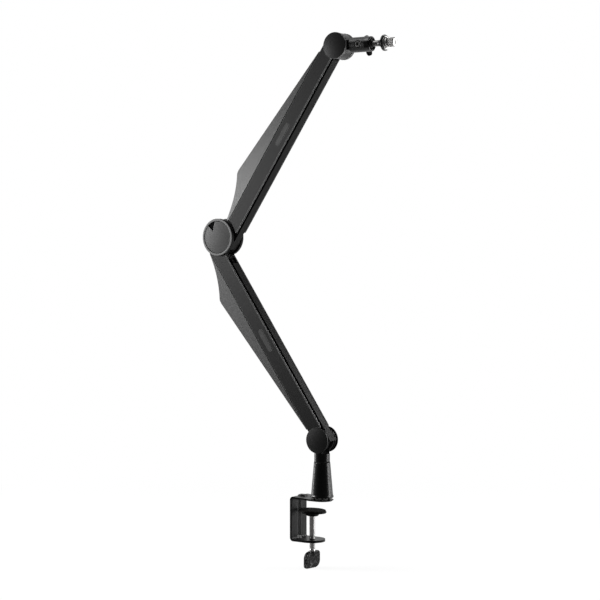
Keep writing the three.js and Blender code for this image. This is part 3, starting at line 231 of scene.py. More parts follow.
tidy_edges = bpy.data.node_groups.new("smooth_between_sharp_edges", "GeometryNodeTree")
tidy_edges.interface.new_socket("Geometry", in_out="INPUT", socket_type="NodeSocketGeometry")
tidy_edges.interface.new_socket("Geometry", in_out="OUTPUT", socket_type="NodeSocketGeometry")


def build_tidy_edges(tree):
    """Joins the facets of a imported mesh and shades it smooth, except across its sharp edges."""
    stock = Wire(tree.nodes.new("NodeGroupInput").outputs[0])
    plain = stock.add("GeometryNodeRemoveAttribute", {}, {"Geometry": stock, "Name": "custom_normal"})
    joined = stock.add("GeometryNodeMergeByDistance", {}, {"Geometry": plain, "Distance": 0.002 * mm})
    smooth = stock.add("GeometryNodeSetShadeSmooth", {"domain": "FACE"}, {"Geometry": joined})
    turn = stock.add("GeometryNodeInputMeshEdgeAngle", {}, {})
    sockets = {"Geometry": smooth, "Selection": turn > sharp_angle, "Shade Smooth": False}
    done = stock.add("GeometryNodeSetShadeSmooth", {"domain": "EDGE"}, sockets)
    stock.add("NodeGroupOutput", {}, {0: done})


sharp_angle = radians(32)
build_tidy_edges(tidy_edges)


def dress(node, material, ease=0):
    """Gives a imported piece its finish, shades curves as curves and rounds its edges."""
    part = frame["nodes"][node]
    for slot in part.material_slots:
        slot.material = material
    smoothing = part.modifiers.new("smooth_between_sharp_edges", "NODES")
    smoothing.node_group = tidy_edges
    if ease:
        flats = part.modifiers.new("whole_flats", "DECIMATE")
        flats.decimate_type, flats.angle_limit = "DISSOLVE", radians(0.6)
        edges = part.modifiers.new("eased_edges", "BEVEL")
        edges.width, edges.segments = ease, 2
        edges.limit_method, edges.angle_limit = "ANGLE", sharp_angle
        part.modifiers.new("level_flats", "WEIGHTED_NORMAL").keep_sharp = True


dress("clamp_bracket", black_coat)

# Jaw pad and pressure pad. Black rubber sheet, 1.2 and 1.5 mm thick, glued to the jaw and to
# the pressure plate so that neither bites into the desk. The plate and its pad hang a little
# askew on the head of the screw.
pad_radius = 22.8 * mm
pad_foot = -18.0 * mm
pad_top = -16.5 * mm
fine_sides = 96


def plain_look(dark, light, cloud_size, grain_size, dull, duller, shine, relief, ease):
    """One colour clouded with another, and a fine grain in its dullness and relief."""

    def look(place):
        grain = speckle(place, grain_size)
        colour = between(place, dark, light, speckle(place, cloud_size))
        return surface(colour, dull + duller * grain, shine, bumped(place, grain, relief, ease))

    return look


def bent(start, bend, end, t):
    """A point on a curve from its start towards the bend and on to its end."""
    return start * (1 - t) ** 2 + 2 * bend * t * (1 - t) + end * t**2


def eased(profile, steps=4):
    """Rounds the corners of a profile: each point is (radius, height) or (radius, height, ease)."""
    done = []
    for i, point in enumerate(profile):
        here = Vector(point[:2])
        if len(point) < 3:
            done.append(here)
            continue
        before = Vector(profile[i - 1][:2]) - here
        after = Vector(profile[(i + 1) % len(profile)][:2]) - here
        ease = min(point[2], before.length / 2, after.length / 2)
        start, end = here + before.normalized() * ease, here + after.normalized() * ease
        done += [bent(start, here, end, s / steps) for s in range(steps + 1)]
    return done


def skin(solid, rings):
    """Adds the faces between each ring of corners and the next. A ring of one is a tip."""
    for low, high in zip(rings, rings[1:]):
        for i in range(max(len(low), len(high))):
            near = [ring[i % len(ring)] for ring in (low, high)]
            far = [ring[(i + 1) % len(ring)] for ring in (low, high)]
            corners = list(dict.fromkeys([near[0], far[0], far[1], near[1]]))
            if len(corners) > 2:
                solid.faces.new(corners)


def round_turns(count):
    """Angles evenly spaced round a circle."""
    return [2 * pi * i / count for i in range(count)]


def turn_on_lathe(solid, profile, sides=fine_sides, closed=False):
    """Adds a profile turned about Z. It ends on the axis, or is closed on itself."""
    rings = []
    for radius, height in profile:
        turns = round_turns(sides) if radius > 0 else [0]
        ring = [(radius * cos(a), radius * sin(a), height) for a in turns]
        rings.append([solid.verts.new(corner) for corner in ring])
    skin(solid, rings + rings[:1] if closed else rings)


def mesh_of(solid, sharp=sharp_angle):
    """Closes a piece: joins seams, turns the faces outwards and shades curves as curves."""
    bmesh.ops.remove_doubles(solid, verts=solid.verts, dist=0.003 * mm)
    bmesh.ops.dissolve_degenerate(solid, edges=solid.edges, dist=0.001 * mm)
    bmesh.ops.recalc_face_normals(solid, faces=solid.faces)
    mesh = bpy.data.meshes.new("piece")
    solid.to_mesh(mesh)
    solid.free()
    mesh.shade_smooth()
    mesh.set_sharp_from_angle(angle=sharp)
    return mesh


def turned(profile, sides=fine_sides, closed=False):
    solid = bmesh.new()
    turn_on_lathe(solid, eased(profile), sides, closed)
    return mesh_of(solid)


def added(name, data):
    """An object in the scene that carries a mesh, a lamp or a camera."""
    made = bpy.data.objects.new(name, data)
    bpy.context.scene.collection.objects.link(made)
    return made


def stand_for(node, mesh, placing, material, rigid=True):
    """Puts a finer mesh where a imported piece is, on the same body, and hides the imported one."""
    mesh.name = node
    mesh.transform(placing)
    mesh.materials.clear()
    mesh.materials.append(material)
    made = added("fine_" + node, mesh)
    if rigid:
        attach(made, frame["nodes"][node]["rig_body"])
    made.modifiers.new("level_flats", "WEIGHTED_NORMAL").keep_sharp = True
    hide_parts(node)
    return made


def outline_of(*arcs, steps=16):
    """Points round a row of arcs: (x, y, radius, from, to), with angles in degrees."""
    points = []
    for x, y, radius, start, end in arcs:
        for s in range(steps + 1):
            turn = radians(start + (end - start) * s / steps)
            points.append((x + radius * cos(turn), y + radius * sin(turn)))
    return points


def extruded(outline, low, high, ease=0):
    """A flat outline given its thickness along Z, with its rims eased by a bevel."""
    solid = bmesh.new()
    floor = solid.faces.new([solid.verts.new((x, y, low)) for x, y in outline])
    pushed = bmesh.ops.extrude_face_region(solid, geom=[floor])["geom"]
    for vert in (v for v in pushed if isinstance(v, bmesh.types.BMVert)):
        vert.co.z = high
    if ease:
        rims = [e for e in solid.edges if abs(e.verts[0].co.z - e.verts[1].co.z) < 0.01 * mm]
        bmesh.ops.bevel(solid, geom=rims, offset=ease, segments=4, profile=0.5, affect="EDGES")
    return mesh_of(solid)


def spun(angle, about):
    return Matrix.Rotation(radians(angle), 4, about)


rubber_look = plain_look(
    grey(0.003), grey(0.009, 0.03), cloud_size=9 * mm, grain_size=0.35 * mm,
    dull=0.76, duller=0.12, shine=0.03, relief=0.06 * mm, ease=0.3 * mm,
)
black_rubber = finish("black_rubber", rubber_look)
jaw_pad_radius, jaw_pad_run, jaw_pad_top = 17.5 * mm, 14 * mm, 1.2 * mm
jaw_outline = outline_of((0, 0, jaw_pad_radius, -90, 90), (-jaw_pad_run, 0, jaw_pad_radius, 90, 270))
jaw_pad = extruded(jaw_outline, 0, jaw_pad_top, 0.25 * mm)
here = Matrix.Identity(4)
stand_for("jaw_pad", jaw_pad, here, black_rubber)
pad_profile = [(0, pad_foot), (pad_radius, pad_foot), (pad_radius, pad_top, 0.5 * mm), (0, pad_top)]
on_screw = Matrix.Translation((-20 * mm, 0, 0))
swing_point = Matrix.Translation((0, 0, -21 * mm))
swing = spun(2.2, Vector((-0.575, 0.818, 0)))
drop = Matrix.Translation((0, 0, -0.5 * mm))
swung = drop @ on_screw @ swing_point @ swing @ swing_point.inverted()
stand_for("pressure_pad", turned(pad_profile), swung, black_rubber)

# Pressure plate. A coated steel disc with a pressed hub, which holds the head of the screw
# captive, so that the plate stays still while the screw turns.
plate_top = -18.3 * mm
plate_under = -21.2 * mm
plate_radius = 24 * mm
hub_foot = -26.9 * mm
hub_root_radius, hub_foot_radius = 13.5 * mm, 10 * mm
hub_bore = 5.2 * mm
chamber_radius = 6.8 * mm
chamber_foot, chamber_top = hub_foot + 2 * mm, plate_top - 1.2 * mm
plate_profile = [
    (0, plate_top),
    (plate_radius, plate_top, 1.1 * mm),
    (plate_radius, plate_under, 1.1 * mm),
    (hub_root_radius, plate_under, 1.2 * mm),
    (hub_foot_radius, hub_foot, 1.4 * mm),
    (hub_bore, hub_foot, 0.4 * mm),
    (hub_bore, chamber_foot),
    (chamber_radius, chamber_foot),
    (chamber_radius, chamber_top),
    (0, chamber_top),
]
plate_coat = finish("plate_powder_coat", coat_look(shine=0.05))
stand_for("pressure_plate", turned(plate_profile), swung, plate_coat)

# Clamp screw. A bright zinc-plated M10 rod with a 1.5 mm rolled thread; its swollen head
# turns inside the plate's hub and its plain foot is pressed into the paddle.
screw_crest = 4.9 * mm
screw_root = 4.3 * mm
screw_pitch = 1.5 * mm
thread_rows = ((0.08, 0), (0.26, 1), (0.72, 1), (0.9, 0))


def lathe_lines(place, axis, ring, detail=2.0):
    """Noise that changes along one axis only, like the marks of a turning tool."""
    lengthwise = place.add("ShaderNodeCombineXYZ", {}, {0: coordinate(place, axis)})
    return speckle(lengthwise, ring, detail)


def steel_look(axis, ring, shine, dull=0.16):
    """Bright steel turned on a lathe: fine rings across one axis, and a few dull stains."""

    def look(place):
        lines = lathe_lines(place, axis, ring, 3.0)
        stain = speckle(place, 3 * mm, 3)
        colour = between(place, grey(0.6 * shine, 0.015), grey(shine, 0.01), stain)
        normal = bumped(place, lines, 0.004 * mm, 0.12 * mm)
        return surface(colour, dull + 0.1 * stain + 0.05 * lines, 0.5, normal, metallic=1.0)

    return look


def cut_thread(solid, root, crest, pitch, start, end, sides=64):
    """Adds a screw thread about Z. Its ends run out to the root, ready to meet a shoulder."""
    turns = ceil((end - start) / pitch) + 1
    rows = [(t + place, rise) for t in range(-1, turns) for place, rise in thread_rows]
    per_turn = len(thread_rows)

    def corner(row, i):
        place, rise = rows[row]
        height = min(max(start + (place + i / sides) * pitch, start), end)
        room = min(height - start, end - height)
        radius = min(root + rise * (crest - root), root + room)
        turn = 2 * pi * i / sides
        return solid.verts.new((radius * cos(turn), radius * sin(turn), height))

    grid = [[corner(row, i) for i in range(sides + 1)] for row in range(len(rows))]
    for row in range(len(rows) - per_turn - 1):
        for i in range(sides):
            solid.faces.new([grid[row][i], grid[row][i + 1], grid[row + 1][i + 1], grid[row + 1][i]])


bright_screw = finish("bright_zinc", steel_look("Z", ring=0.2 * mm, shine=0.62, dull=0.24))
rod_end, rod_foot, rod_top = -91.5 * mm, -84 * mm, -23.4 * mm
head_foot, head_top, head_radius = -22.4 * mm, -19.8 * mm, 6.5 * mm
screw = bmesh.new()
cut_thread(screw, screw_root, screw_crest, screw_pitch, rod_foot, rod_top)
below = [(0, rod_end), (screw_crest, rod_end), (screw_crest, rod_foot - 1 * mm)]
turn_on_lathe(screw, [*below, (screw_root, rod_foot)], 64)
above = [
    (screw_root, rod_top),
    (screw_root, head_foot),
    (head_radius, head_foot),
    (head_radius, head_top),
    (0, head_top),
]
turn_on_lathe(screw, above, 64)
stand_for("clamp_spindle", mesh_of(screw), on_screw, bright_screw)

# Thumb paddle. A flat handle of black glass-filled nylon, moulded over the foot of the
# screw, with a pebbled grip and soft edges. Two of its corners are fuller than the others.
paddle_top = -87.3 * mm
paddle_foot = -115.8 * mm
paddle_half_width = 19 * mm
paddle_thickness = 6.5 * mm
paddle_corner = 5 * mm
grip_voxel = 0.45 * mm


def paddle_look(place):
    cells = {"Vector": place, "Scale": 1 / (2.2 * mm)}
    pebble = place.add("ShaderNodeTexVoronoi", {"feature": "SMOOTH_F1"}, cells)
    fleck_cloud = speckle(place, 6 * mm)
    relief = {"Height": 1 - pebble, "Distance": 0.35 * mm, "Strength": 0.8}
    # Lighter flecks lie in the hollows between the pebbles, more of them in some patches.
    colour = between(place, grey(0.0005), grey(0.4), pebble**4 * (0.3 + fleck_cloud))
    return surface(colour, 0.5 - 0.2 * pebble, 0.08, place.add("ShaderNodeBump", {}, relief))


def with_modifiers(mesh, *steps):
    """The mesh after a row of modifiers, each a kind and its settings."""
    held = added("held", mesh)
    for kind, settings in steps:
        step = held.modifiers.new(kind.lower(), kind)
        for key, value in settings.items():
            setattr(step, key, value)
    seen = held.evaluated_get(bpy.context.evaluated_depsgraph_get())
    made = bpy.data.meshes.new_from_object(seen)
    bpy.data.objects.remove(held)
    return made


def melted(voxel, rounds, *meshes):
    """Several meshes merged into one skin, its inner corners smoothed."""
    solid = bmesh.new()
    for mesh in meshes:
        solid.from_mesh(mesh)
    remesh = {"mode": "VOXEL", "voxel_size": voxel, "use_smooth_shade": True}
    smooth = {"iterations": rounds, "use_only_smooth": True, "factor": 0.6}
    steps = ("REMESH", remesh), ("CORRECTIVE_SMOOTH", smooth)
    return with_modifiers(mesh_of(solid), *steps)


mid_y = paddle_half_width - paddle_corner
mid_z = (paddle_top - paddle_foot) / 2 - paddle_corner
rounder = 7 * mm
narrower = 2 * mm
paddle_outline = outline_of(
    (mid_z - rounder, mid_y - narrower - rounder, paddle_corner + rounder, 0, 90),
    (-mid_z, mid_y - narrower, paddle_corner, 90, 180),
    (rounder - mid_z, rounder - mid_y, paddle_corner + rounder, 180, 270),
    (mid_z, -mid_y, paddle_corner, 270, 360),
)
half = paddle_thickness / 2
blade = extruded(paddle_outline, -half, half, 1.6 * mm)
blade.transform(Matrix.Translation((0, 0, (paddle_top + paddle_foot) / 2)) @ spun(90, "Y"))
socket_radius = 6.4 * mm
socket_profile = [
    (0, paddle_top),
    (socket_radius, paddle_top, 1.2 * mm),
    (socket_radius, paddle_top - 5 * mm, 2 * mm),
    (2.6 * mm, paddle_top - 10 * mm, 2 * mm),
    (0, paddle_top - 10.6 * mm),
]
socket = turned(socket_profile)
paddle = melted(grip_voxel, 6, blade, socket)
black_grip = finish("pebbled_nylon", paddle_look)
stand_for("thumb_paddle", paddle, on_screw @ spun(-8, "Z"), black_grip)

# Pillar. A tapered steel sleeve with a lip at its foot, coated a little glossier than the
# bracket and held to it by three screws from below. A nylon bush inside it carries the steel
# pin of the post.
sleeve_foot = 5.8 * mm
sleeve_top = 64.9 * mm
lip_radius = 19.5 * mm
sleeve_bore = 11.8 * mm
bush_seat = 11 * mm


def pillar_look(place):
    peel = speckle(place, 1.3 * mm, 3)
    cloud = speckle(place, 22 * mm)
    # Lighter edges: partly scuffing, partly painted highlight.
    worn_and_lit = edge_wear_and_highlight(place, 0.6 * mm, 2.0) * speckle(place, 5 * mm)
    colour = between(place, grey(0.0008), grey(0.015, 0.02), worn_and_lit)
    roughness = 0.25 + 0.04 * cloud + 0.04 * peel
    return surface(colour, roughness, 0.22, bumped(place, peel, 0.008 * mm, 0.4 * mm))


def nylon_look(place):
    flow = speckle(place, 7 * mm)
    colour = between(place, grey(0.52, 0.05), grey(0.62, 0.04), flow)
    roughness = 0.42 + 0.15 * speckle(place, 0.8 * mm)
    return surface(colour, roughness, 0.5, bumped(place, flow, 0.03 * mm, 0.2 * mm))


def dark_steel_look(place):
    oil = speckle(place, 2.5 * mm, 3)
    # Lighter edges: partly scuffing, partly painted highlight.
    worn_and_lit = edge_wear_and_highlight(place, 0.3 * mm, 2.5)
    colour = between(place, grey(0.035), grey(0.2, 0.02), 0.35 * oil + 0.6 * worn_and_lit)
    normal = bumped(place, oil, 0.02 * mm, 0.2 * mm)
    return surface(colour, 0.32 + 0.16 * oil, 0.5, normal, metallic=0.85)


gloss_coat = finish("pillar_powder_coat", pillar_look)
white_nylon = finish("natural_nylon", nylon_look)
dark_steel = finish("blackened_steel", dark_steel_look)
pin_steel = finish("ground_steel", steel_look("Z", ring=0.15 * mm, shine=0.6))
sleeve_profile = [
    (bush_seat, sleeve_foot),
    (lip_radius, sleeve_foot, 0.9 * mm),
    (lip_radius, 8.4 * mm, 1.0 * mm),
    (18.6 * mm, 10.0 * mm, 1.2 * mm),
    (13.9 * mm, sleeve_top, 0.7 * mm),
    (sleeve_bore, sleeve_top, 0.2 * mm),
    (sleeve_bore, 15 * mm),
    (bush_seat, 15 * mm),
]
sleeve = turned(sleeve_profile, closed=True)
stand_for("pillar_cone", sleeve, here, gloss_coat)
dress("cone_bush", white_nylon)
for node in ("cone_screw_1", "cone_screw_2", "cone_screw_3", "shaft_clip"):
    dress(node, dark_steel)
dress("post_shaft", pin_steel)

# Seam of the pillar. A thin washer of dark nylon between the sleeve that stands still and
# the neck that turns with the arm.
seam_look = plain_look(
    grey(0.003), grey(0.012), cloud_size=4 * mm, grain_size=4 * mm,
    dull=0.5, duller=0.2, shine=0.1, relief=0.02 * mm, ease=0.2 * mm,
)
# Dark nylon for the seam washer. On the ball seat the same finish is painted shade.
dark_nylon_and_shade = finish("dark_nylon_and_shade", seam_look)
seam_foot, seam_top = 65.2 * mm, 66.2 * mm
seam_bore, seam_radius, seam_ease = 8.3 * mm, 13.5 * mm, 0.3 * mm
seam_profile = [
    (seam_bore, seam_foot),
    (seam_radius, seam_foot, seam_ease),
    (seam_radius, seam_top, seam_ease),
    (seam_bore, seam_top),
]
seam = turned(seam_profile, closed=True)
stand_for("swivel_washer", seam, here, dark_nylon_and_shade)

# Post fork. Neck and two round cheeks cast in one and coated; the lowest hinge turns between
# the cheeks. Each cheek is bored for the bolt and pocketed for its head under the cap.
low_pivot = Vector((0, 0, 103.1 * mm))
cheek_inner = 10.8 * mm
small_cheek_face = 14.2 * mm
bolt_seat = 12.6 * mm
small_radius = 21.8 * mm
fork_radius = 19.7 * mm
neck_foot = 66.5 * mm
neck_radius = 13.3 * mm
slot_floor = 79.8 * mm
root_top = 86.1 * mm
facing = {"front": spun(90, "X"), "rear": spun(-90, "X")}


def boolean(base, *steps):
    """The base with other meshes joined to it or cut from it: each step is (kind, mesh)."""
    tools = [(kind, added("tool", mesh)) for kind, mesh in steps]
    settings = [{"operation": kind, "object": tool, "solver": "EXACT"} for kind, tool in tools]
    made = with_modifiers(base, *[("BOOLEAN", each) for each in settings])
    for _, tool in tools:
        bpy.data.objects.remove(tool)
    return made


def crisp(mesh, ease=0.3 * mm):
    """Breaks the sharp edges of a built-up mesh, keeps its flats flat and its curves smooth."""
    solid = bmesh.new()
    solid.from_mesh(mesh)
    bmesh.ops.remove_doubles(solid, verts=solid.verts, dist=0.003 * mm)
    flat = radians(0.4)
    bmesh.ops.dissolve_limit(solid, angle_limit=flat, verts=solid.verts, edges=solid.edges)
    if ease:
        edges = [e for e in solid.edges if e.is_manifold and e.calc_face_angle(0) > sharp_angle]
        shape = {"segments": 2, "profile": 0.5, "affect": "EDGES", "clamp_overlap": True}
        bmesh.ops.bevel(solid, geom=edges, offset=ease, **shape)
    return mesh_of(solid, radians(20))


def rod(radius, low, high, sides=fine_sides):
    return turned([(0, low), (radius, low), (radius, high), (0, high)], sides)


def placed(mesh, *moves):
    """The mesh after a row of moves and turns."""
    for move in moves:
        mesh.transform(move)
    return mesh


def hinge_cutter(side):
    """Bolt hole and head pocket of one cheek, seen outwards from the middle of the hinge."""
    hole, pocket = 4.3 * mm, 7.4 * mm
    start, end = 5 * mm, 20 * mm
    profile = [(0, start), (hole, start), (hole, bolt_seat), (pocket, bolt_seat), (pocket, end), (0, end)]
    return placed(turned(profile, 48), facing[side])


def box(low, high):
    outline = [(low[0], low[1]), (high[0], low[1]), (high[0], high[1]), (low[0], high[1])]
    return extruded(outline, low[2], high[2])


neck_profile = [
    (0, neck_foot),
    (neck_radius, neck_foot, 0.4 * mm),
    (neck_radius, root_top),
    (0, root_top),
]
slot_low = (-neck_radius - 3 * mm, -cheek_inner, slot_floor)
slot_high = (neck_radius + 3 * mm, cheek_inner, root_top + 3 * mm)
fork_steps = [("DIFFERENCE", box(slot_low, slot_high))]
for side in facing:
    cheek = rod(fork_radius, cheek_inner, small_cheek_face)
    fork_steps.append(("UNION", placed(cheek, facing[side], Matrix.Translation(low_pivot))))
for side in facing:
    fork_steps.append(("DIFFERENCE", placed(hinge_cutter(side), Matrix.Translation(low_pivot))))
pin_bore = rod(8.3 * mm, neck_foot - 3 * mm, neck_foot + 9.5 * mm, 48)
fork_steps.append(("DIFFERENCE", pin_bore))
fork = crisp(boolean(turned(neck_profile), *fork_steps))
stand_for("post_fork", fork, here, gloss_coat)

# Hinge hardware. Blackened bolts and nuts under the caps, white nylon friction washers
# between tongue and cheeks, and the levers keyed to the bolts, which the springs pull on.
for hinge in ("lower_pivot", "elbow", "top"):
    dress(f"{hinge}_bolt", dark_steel)
    dress(f"{hinge}_nut", dark_steel)
for hinge in ("lower", "elbow"):
    dress(f"{hinge}_crank", dark_steel)
for hinge in ("lower", "elbow", "knuckle"):
    for side in facing:
        dress(f"{hinge}_washer_{side}", white_nylon)

# Round caps of the lowest and the top hinge. Thin domes of satin black plastic, moulded with
# a fine grain and snapped over the bolt's head and nut.
lower_lean = radians(-31.6)
upper_lean = radians(37.6)
arm_length = 400 * mm
elbow = low_pivot + arm_length * Vector((sin(lower_lean), 0, cos(lower_lean)))
top_pivot = elbow + arm_length * Vector((sin(upper_lean), 0, cos(upper_lean)))
cap_top = 17.8 * mm
cap_hollow = 16.4 * mm
cap_base = 14.5 * mm
cap_hollow_radius = 8.2 * mm
cap_ease, crown_steps = 0.8 * mm, 14


def moulded_look(dark, light, clouding, wear_and_highlight_share, dull, shine, relief, grain_size, cloud_size, wear_and_highlight_strength, ease):
    """Plastic out of a grained mould, clouded a little, with lighter edges that are partly scuffed and
    partly painted highlight.
    """

    def look(place):
        grain = speckle(place, grain_size, 3)
        # Lighter edges: partly scuffing, partly painted highlight.
        worn_and_lit = edge_wear_and_highlight(place, 0.8 * mm, wear_and_highlight_strength)
        colour = between(place, dark, light, clouding * speckle(place, cloud_size) + wear_and_highlight_share * worn_and_lit)
        return surface(colour, dull + 0.08 * grain, shine, bumped(place, grain, relief, ease))

    return look


def cap_profile(radius, base, dome):
    """From the hollow over the bolt's head, round the rim and up the dome."""
    shoulder = cap_top - dome
    crown = []
    for i in range(crown_steps + 1):
        share = cos(pi / 2 * i / crown_steps)
        out = (radius - cap_ease) * share if i < crown_steps else 0
        crown.append((out, cap_top - dome * share**2))
    return [
        (0, cap_hollow),
        (cap_hollow_radius, cap_hollow),
        (cap_hollow_radius, base),
        (radius, base, 0.3 * mm),
        (radius, shoulder, cap_ease),
        *crown[1:],
    ]


cap_mould = {"grain_size": 0.45 * mm, "cloud_size": 30 * mm, "wear_and_highlight_strength": 1.6, "ease": 0.4 * mm}
cap_look = moulded_look(
    grey(0.0008), grey(0.015), clouding=0.1, wear_and_highlight_share=0.5,
    dull=0.42, shine=0.17, relief=0.035 * mm, **cap_mould,
)
satin_cap = finish("satin_cap", cap_look)
for hinge, pivot in (("lower", low_pivot), ("top", top_pivot)):
    for side in facing:
        cap = turned(cap_profile(small_radius, cap_base, dome=1.7 * mm))
        where = Matrix.Translation(pivot) @ facing[side]
        stand_for(f"{hinge}_cap_{side}", cap, where, satin_cap)

# Beams. Channels folded from 1.5 mm steel, coated in a finer satin black than the clamp.
# Their backs show as the strip along each arm, and their forked tongues enter the hinges. The
# upper strip ends in a small turned-down lip.


def beam_look(shine):
    def look(place):
        brush = place.add("ShaderNodeMapping", {}, {0: place, "Scale": (60, 60, 600)})
        streak = place.add("ShaderNodeTexNoise", {}, {"Vector": brush, "Scale": 3.0, "Detail": 2.0})
        peel = speckle(place, 0.9 * mm)
        # Lighter edges: partly scuffing, partly painted highlight.
        worn_and_lit = edge_wear_and_highlight(place, 0.5 * mm, 2.2)
        colour = between(place, grey(0.0015), grey(0.12, 0.02), 0.05 * streak + 0.5 * worn_and_lit)
        roughness = 0.34 + 0.1 * peel + 0.05 * streak
        return surface(colour, roughness, shine, bumped(place, peel, 0.012 * mm, 0.35 * mm))

    return look


def arm_frame(pivot, lean):
    return Matrix.Translation(pivot) @ Matrix.Rotation(lean, 4, "Y")


arms = {"lower": (low_pivot, lower_lean), "upper": (elbow, upper_lean)}
for arm, shine in (("lower", 0.022), ("upper", 0.05)):
    beam_coat = finish(f"{arm}_beam_powder_coat", beam_look(shine))
    dress(f"{arm}_beam", beam_coat, 0.35 * mm)
lip_low = (6.4 * mm, -7.2 * mm, 373.8 * mm)
lip_high = (7.9 * mm, 7.2 * mm, 377.2 * mm)
strip_lip = box(lip_low, lip_high)
strip_lip.transform(arm_frame(*arms["upper"]))
strip_lip.materials.append(beam_coat)
beam_lip = added("upper_beam_lip", strip_lip)
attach(beam_lip, frame["nodes"]["upper_beam"]["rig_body"])

# Casing shells. Two flat covers for each arm, moulded in charcoal plastic with a fine grain
# and screwed together from the rear. One end of each is a cheek of the next hinge. Painted
# highlights lie along the inner edges and on the rim round the elbow cap.


def shell_look(pivot, lean, line_at_root, line_level):
    """Charcoal plastic, with painted highlights along the inner edge and on the rim round the elbow cap.
    """

    def look(place):
        grain = speckle(place, 0.4 * mm, 3)
        cloud = speckle(place, 45 * mm)
        scuff = speckle(place, 2.2 * mm, 4)
        turn_back = {"Vector": place, "Center": pivot, "Angle": -lean}
        in_arm = place.add("ShaderNodeVectorRotate", {"rotation_type": "Y_AXIS"}, turn_back)
        from_pivot = vector("SUBTRACT", in_arm, pivot)
        past_line = coordinate(from_pivot, "X") - case_slope * coordinate(from_pivot, "Z") - line_at_root
        from_elbow = vector("MULTIPLY", vector("SUBTRACT", place, elbow), (1, 0, 1))
        reach = vector("LENGTH", from_elbow, out=1)
        # Painted highlight: the rim round the elbow cap is coloured light grey.
        rim = (reach < rim_radius) * (abs(coordinate(place, "Y")) > rim_foot)
        drum_side = (reach < drum_outside) * (reach > drum_inside)
        # Painted highlight: a bright line along the inner edge, and fainter lighter edges elsewhere.
        worn_and_lit = edge_wear_and_highlight(place, edge_width, 9) * (0.25 + 0.75 * clamped(past_line * 900))
        plain = between(place, grey(0.0005), grey(0.025), 0.1 * cloud + 0.08 * scuff)
        lined = between(place, plain, grey(line_level), worn_and_lit * (reach > clear_of_drum))
        colour = between(place, lined, grey(0.11), rim)
        roughness = 0.4 + 0.08 * grain + 0.05 * cloud + 0.45 * drum_side
        return surface(colour, roughness, 0.17, bumped(place, grain, 0.025 * mm, 0.5 * mm))

    return look


edge_width = 2.4 * mm
case_slope = -0.05775
rim_radius, rim_foot = 32.3 * mm, 16.6 * mm
drum_inside, drum_outside, clear_of_drum = 32.1 * mm, 32.8 * mm, 34 * mm
for arm, line_at_root, line_level in (("lower", 13 * mm, 0.27), ("upper", 23 * mm, 0.26)):
    arm_look = shell_look(*arms[arm], line_at_root, line_level)
    shell_plastic = finish(f"charcoal_shell_{arm}", arm_look)
    for side in facing:
        dress(f"{arm}_shell_{side}", shell_plastic, 0.9 * mm)

# Casing screws. Blackened 3 mm screws with flat round heads and a hexagon socket, sunk flush
# in the rear shell of each arm.
screw_head_radius, head_depth = 2.7 * mm, 1.5 * mm
hexagon_size, shank_radius = (1.3 * mm, 1 * mm), 1.5 * mm
case_half = 13.5 * mm


def socket_screw(radius, foot, top, socket_radius, socket_depth, shank, tail):
    """A round head with a hexagon socket, and a plain shank that runs down to its tail."""
    profile = [
        (0, tail),
        (shank, tail, 0.3 * mm),
        (shank, foot),
        (radius, foot, 0.15 * mm),
        (radius, top, 0.35 * mm),
        (0, top),
    ]
    hexagon = rod(socket_radius, top - socket_depth, top + 1 * mm, 6)
    return crisp(boolean(turned(profile, 48), ("DIFFERENCE", hexagon)), 0.08 * mm)


for arm in arms:
    for number in (1, 2):
        node = f"{arm}_screw_{number}"
        low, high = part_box(node)
        middle = Vector(((low.x + high.x) / 2, 0, (low.z + high.z) / 2))
        shape = screw_head_radius, case_half - head_depth, case_half, *hexagon_size, shank_radius
        casing_screw = socket_screw(*shape, low.y)
        where = Matrix.Translation(middle) @ facing["rear"]
        stand_for(node, casing_screw, where, dark_steel)

# Inlays. Slim grey plastic plates with round ends, glued into pockets of the front shells.
# They are left blank.
inlay_look = plain_look(
    grey(0.022), grey(0.036), cloud_size=11 * mm, grain_size=0.3 * mm,
    dull=0.4, duller=0.08, shine=0.2, relief=0.012 * mm, ease=0.2 * mm,
)
grey_inlay = finish("grey_inlay", inlay_look)
for arm in arms:
    dress(f"{arm}_badge", grey_inlay, 0.2 * mm)

# Spine covers. Fin-shaped hollow mouldings in the same plastic, coloured a shade lighter as a
# painted highlight on flanks that face the light. Their two drafted flanks meet at a narrow
# ridge. They snap in between the shells, over the springs.


def spine_ridge(start, start_height, bend, bend_height, peak, peak_height, end_height):
    """Distances from the elbow and heights of the ridge: a hollow rise, then a straight fall."""
    ridge = []
    for i in range(rise_steps + 1):
        t = i / rise_steps * rise_share
        ridge.append((bent(start, bend, peak, t), bent(start_height, bend_height, peak_height, t)))
    fall = (peak_height - end_height) / (spine_end - peak)
    return [*ridge, (peak + peak_round, peak_height - fall * peak_round), (spine_end, end_height)]


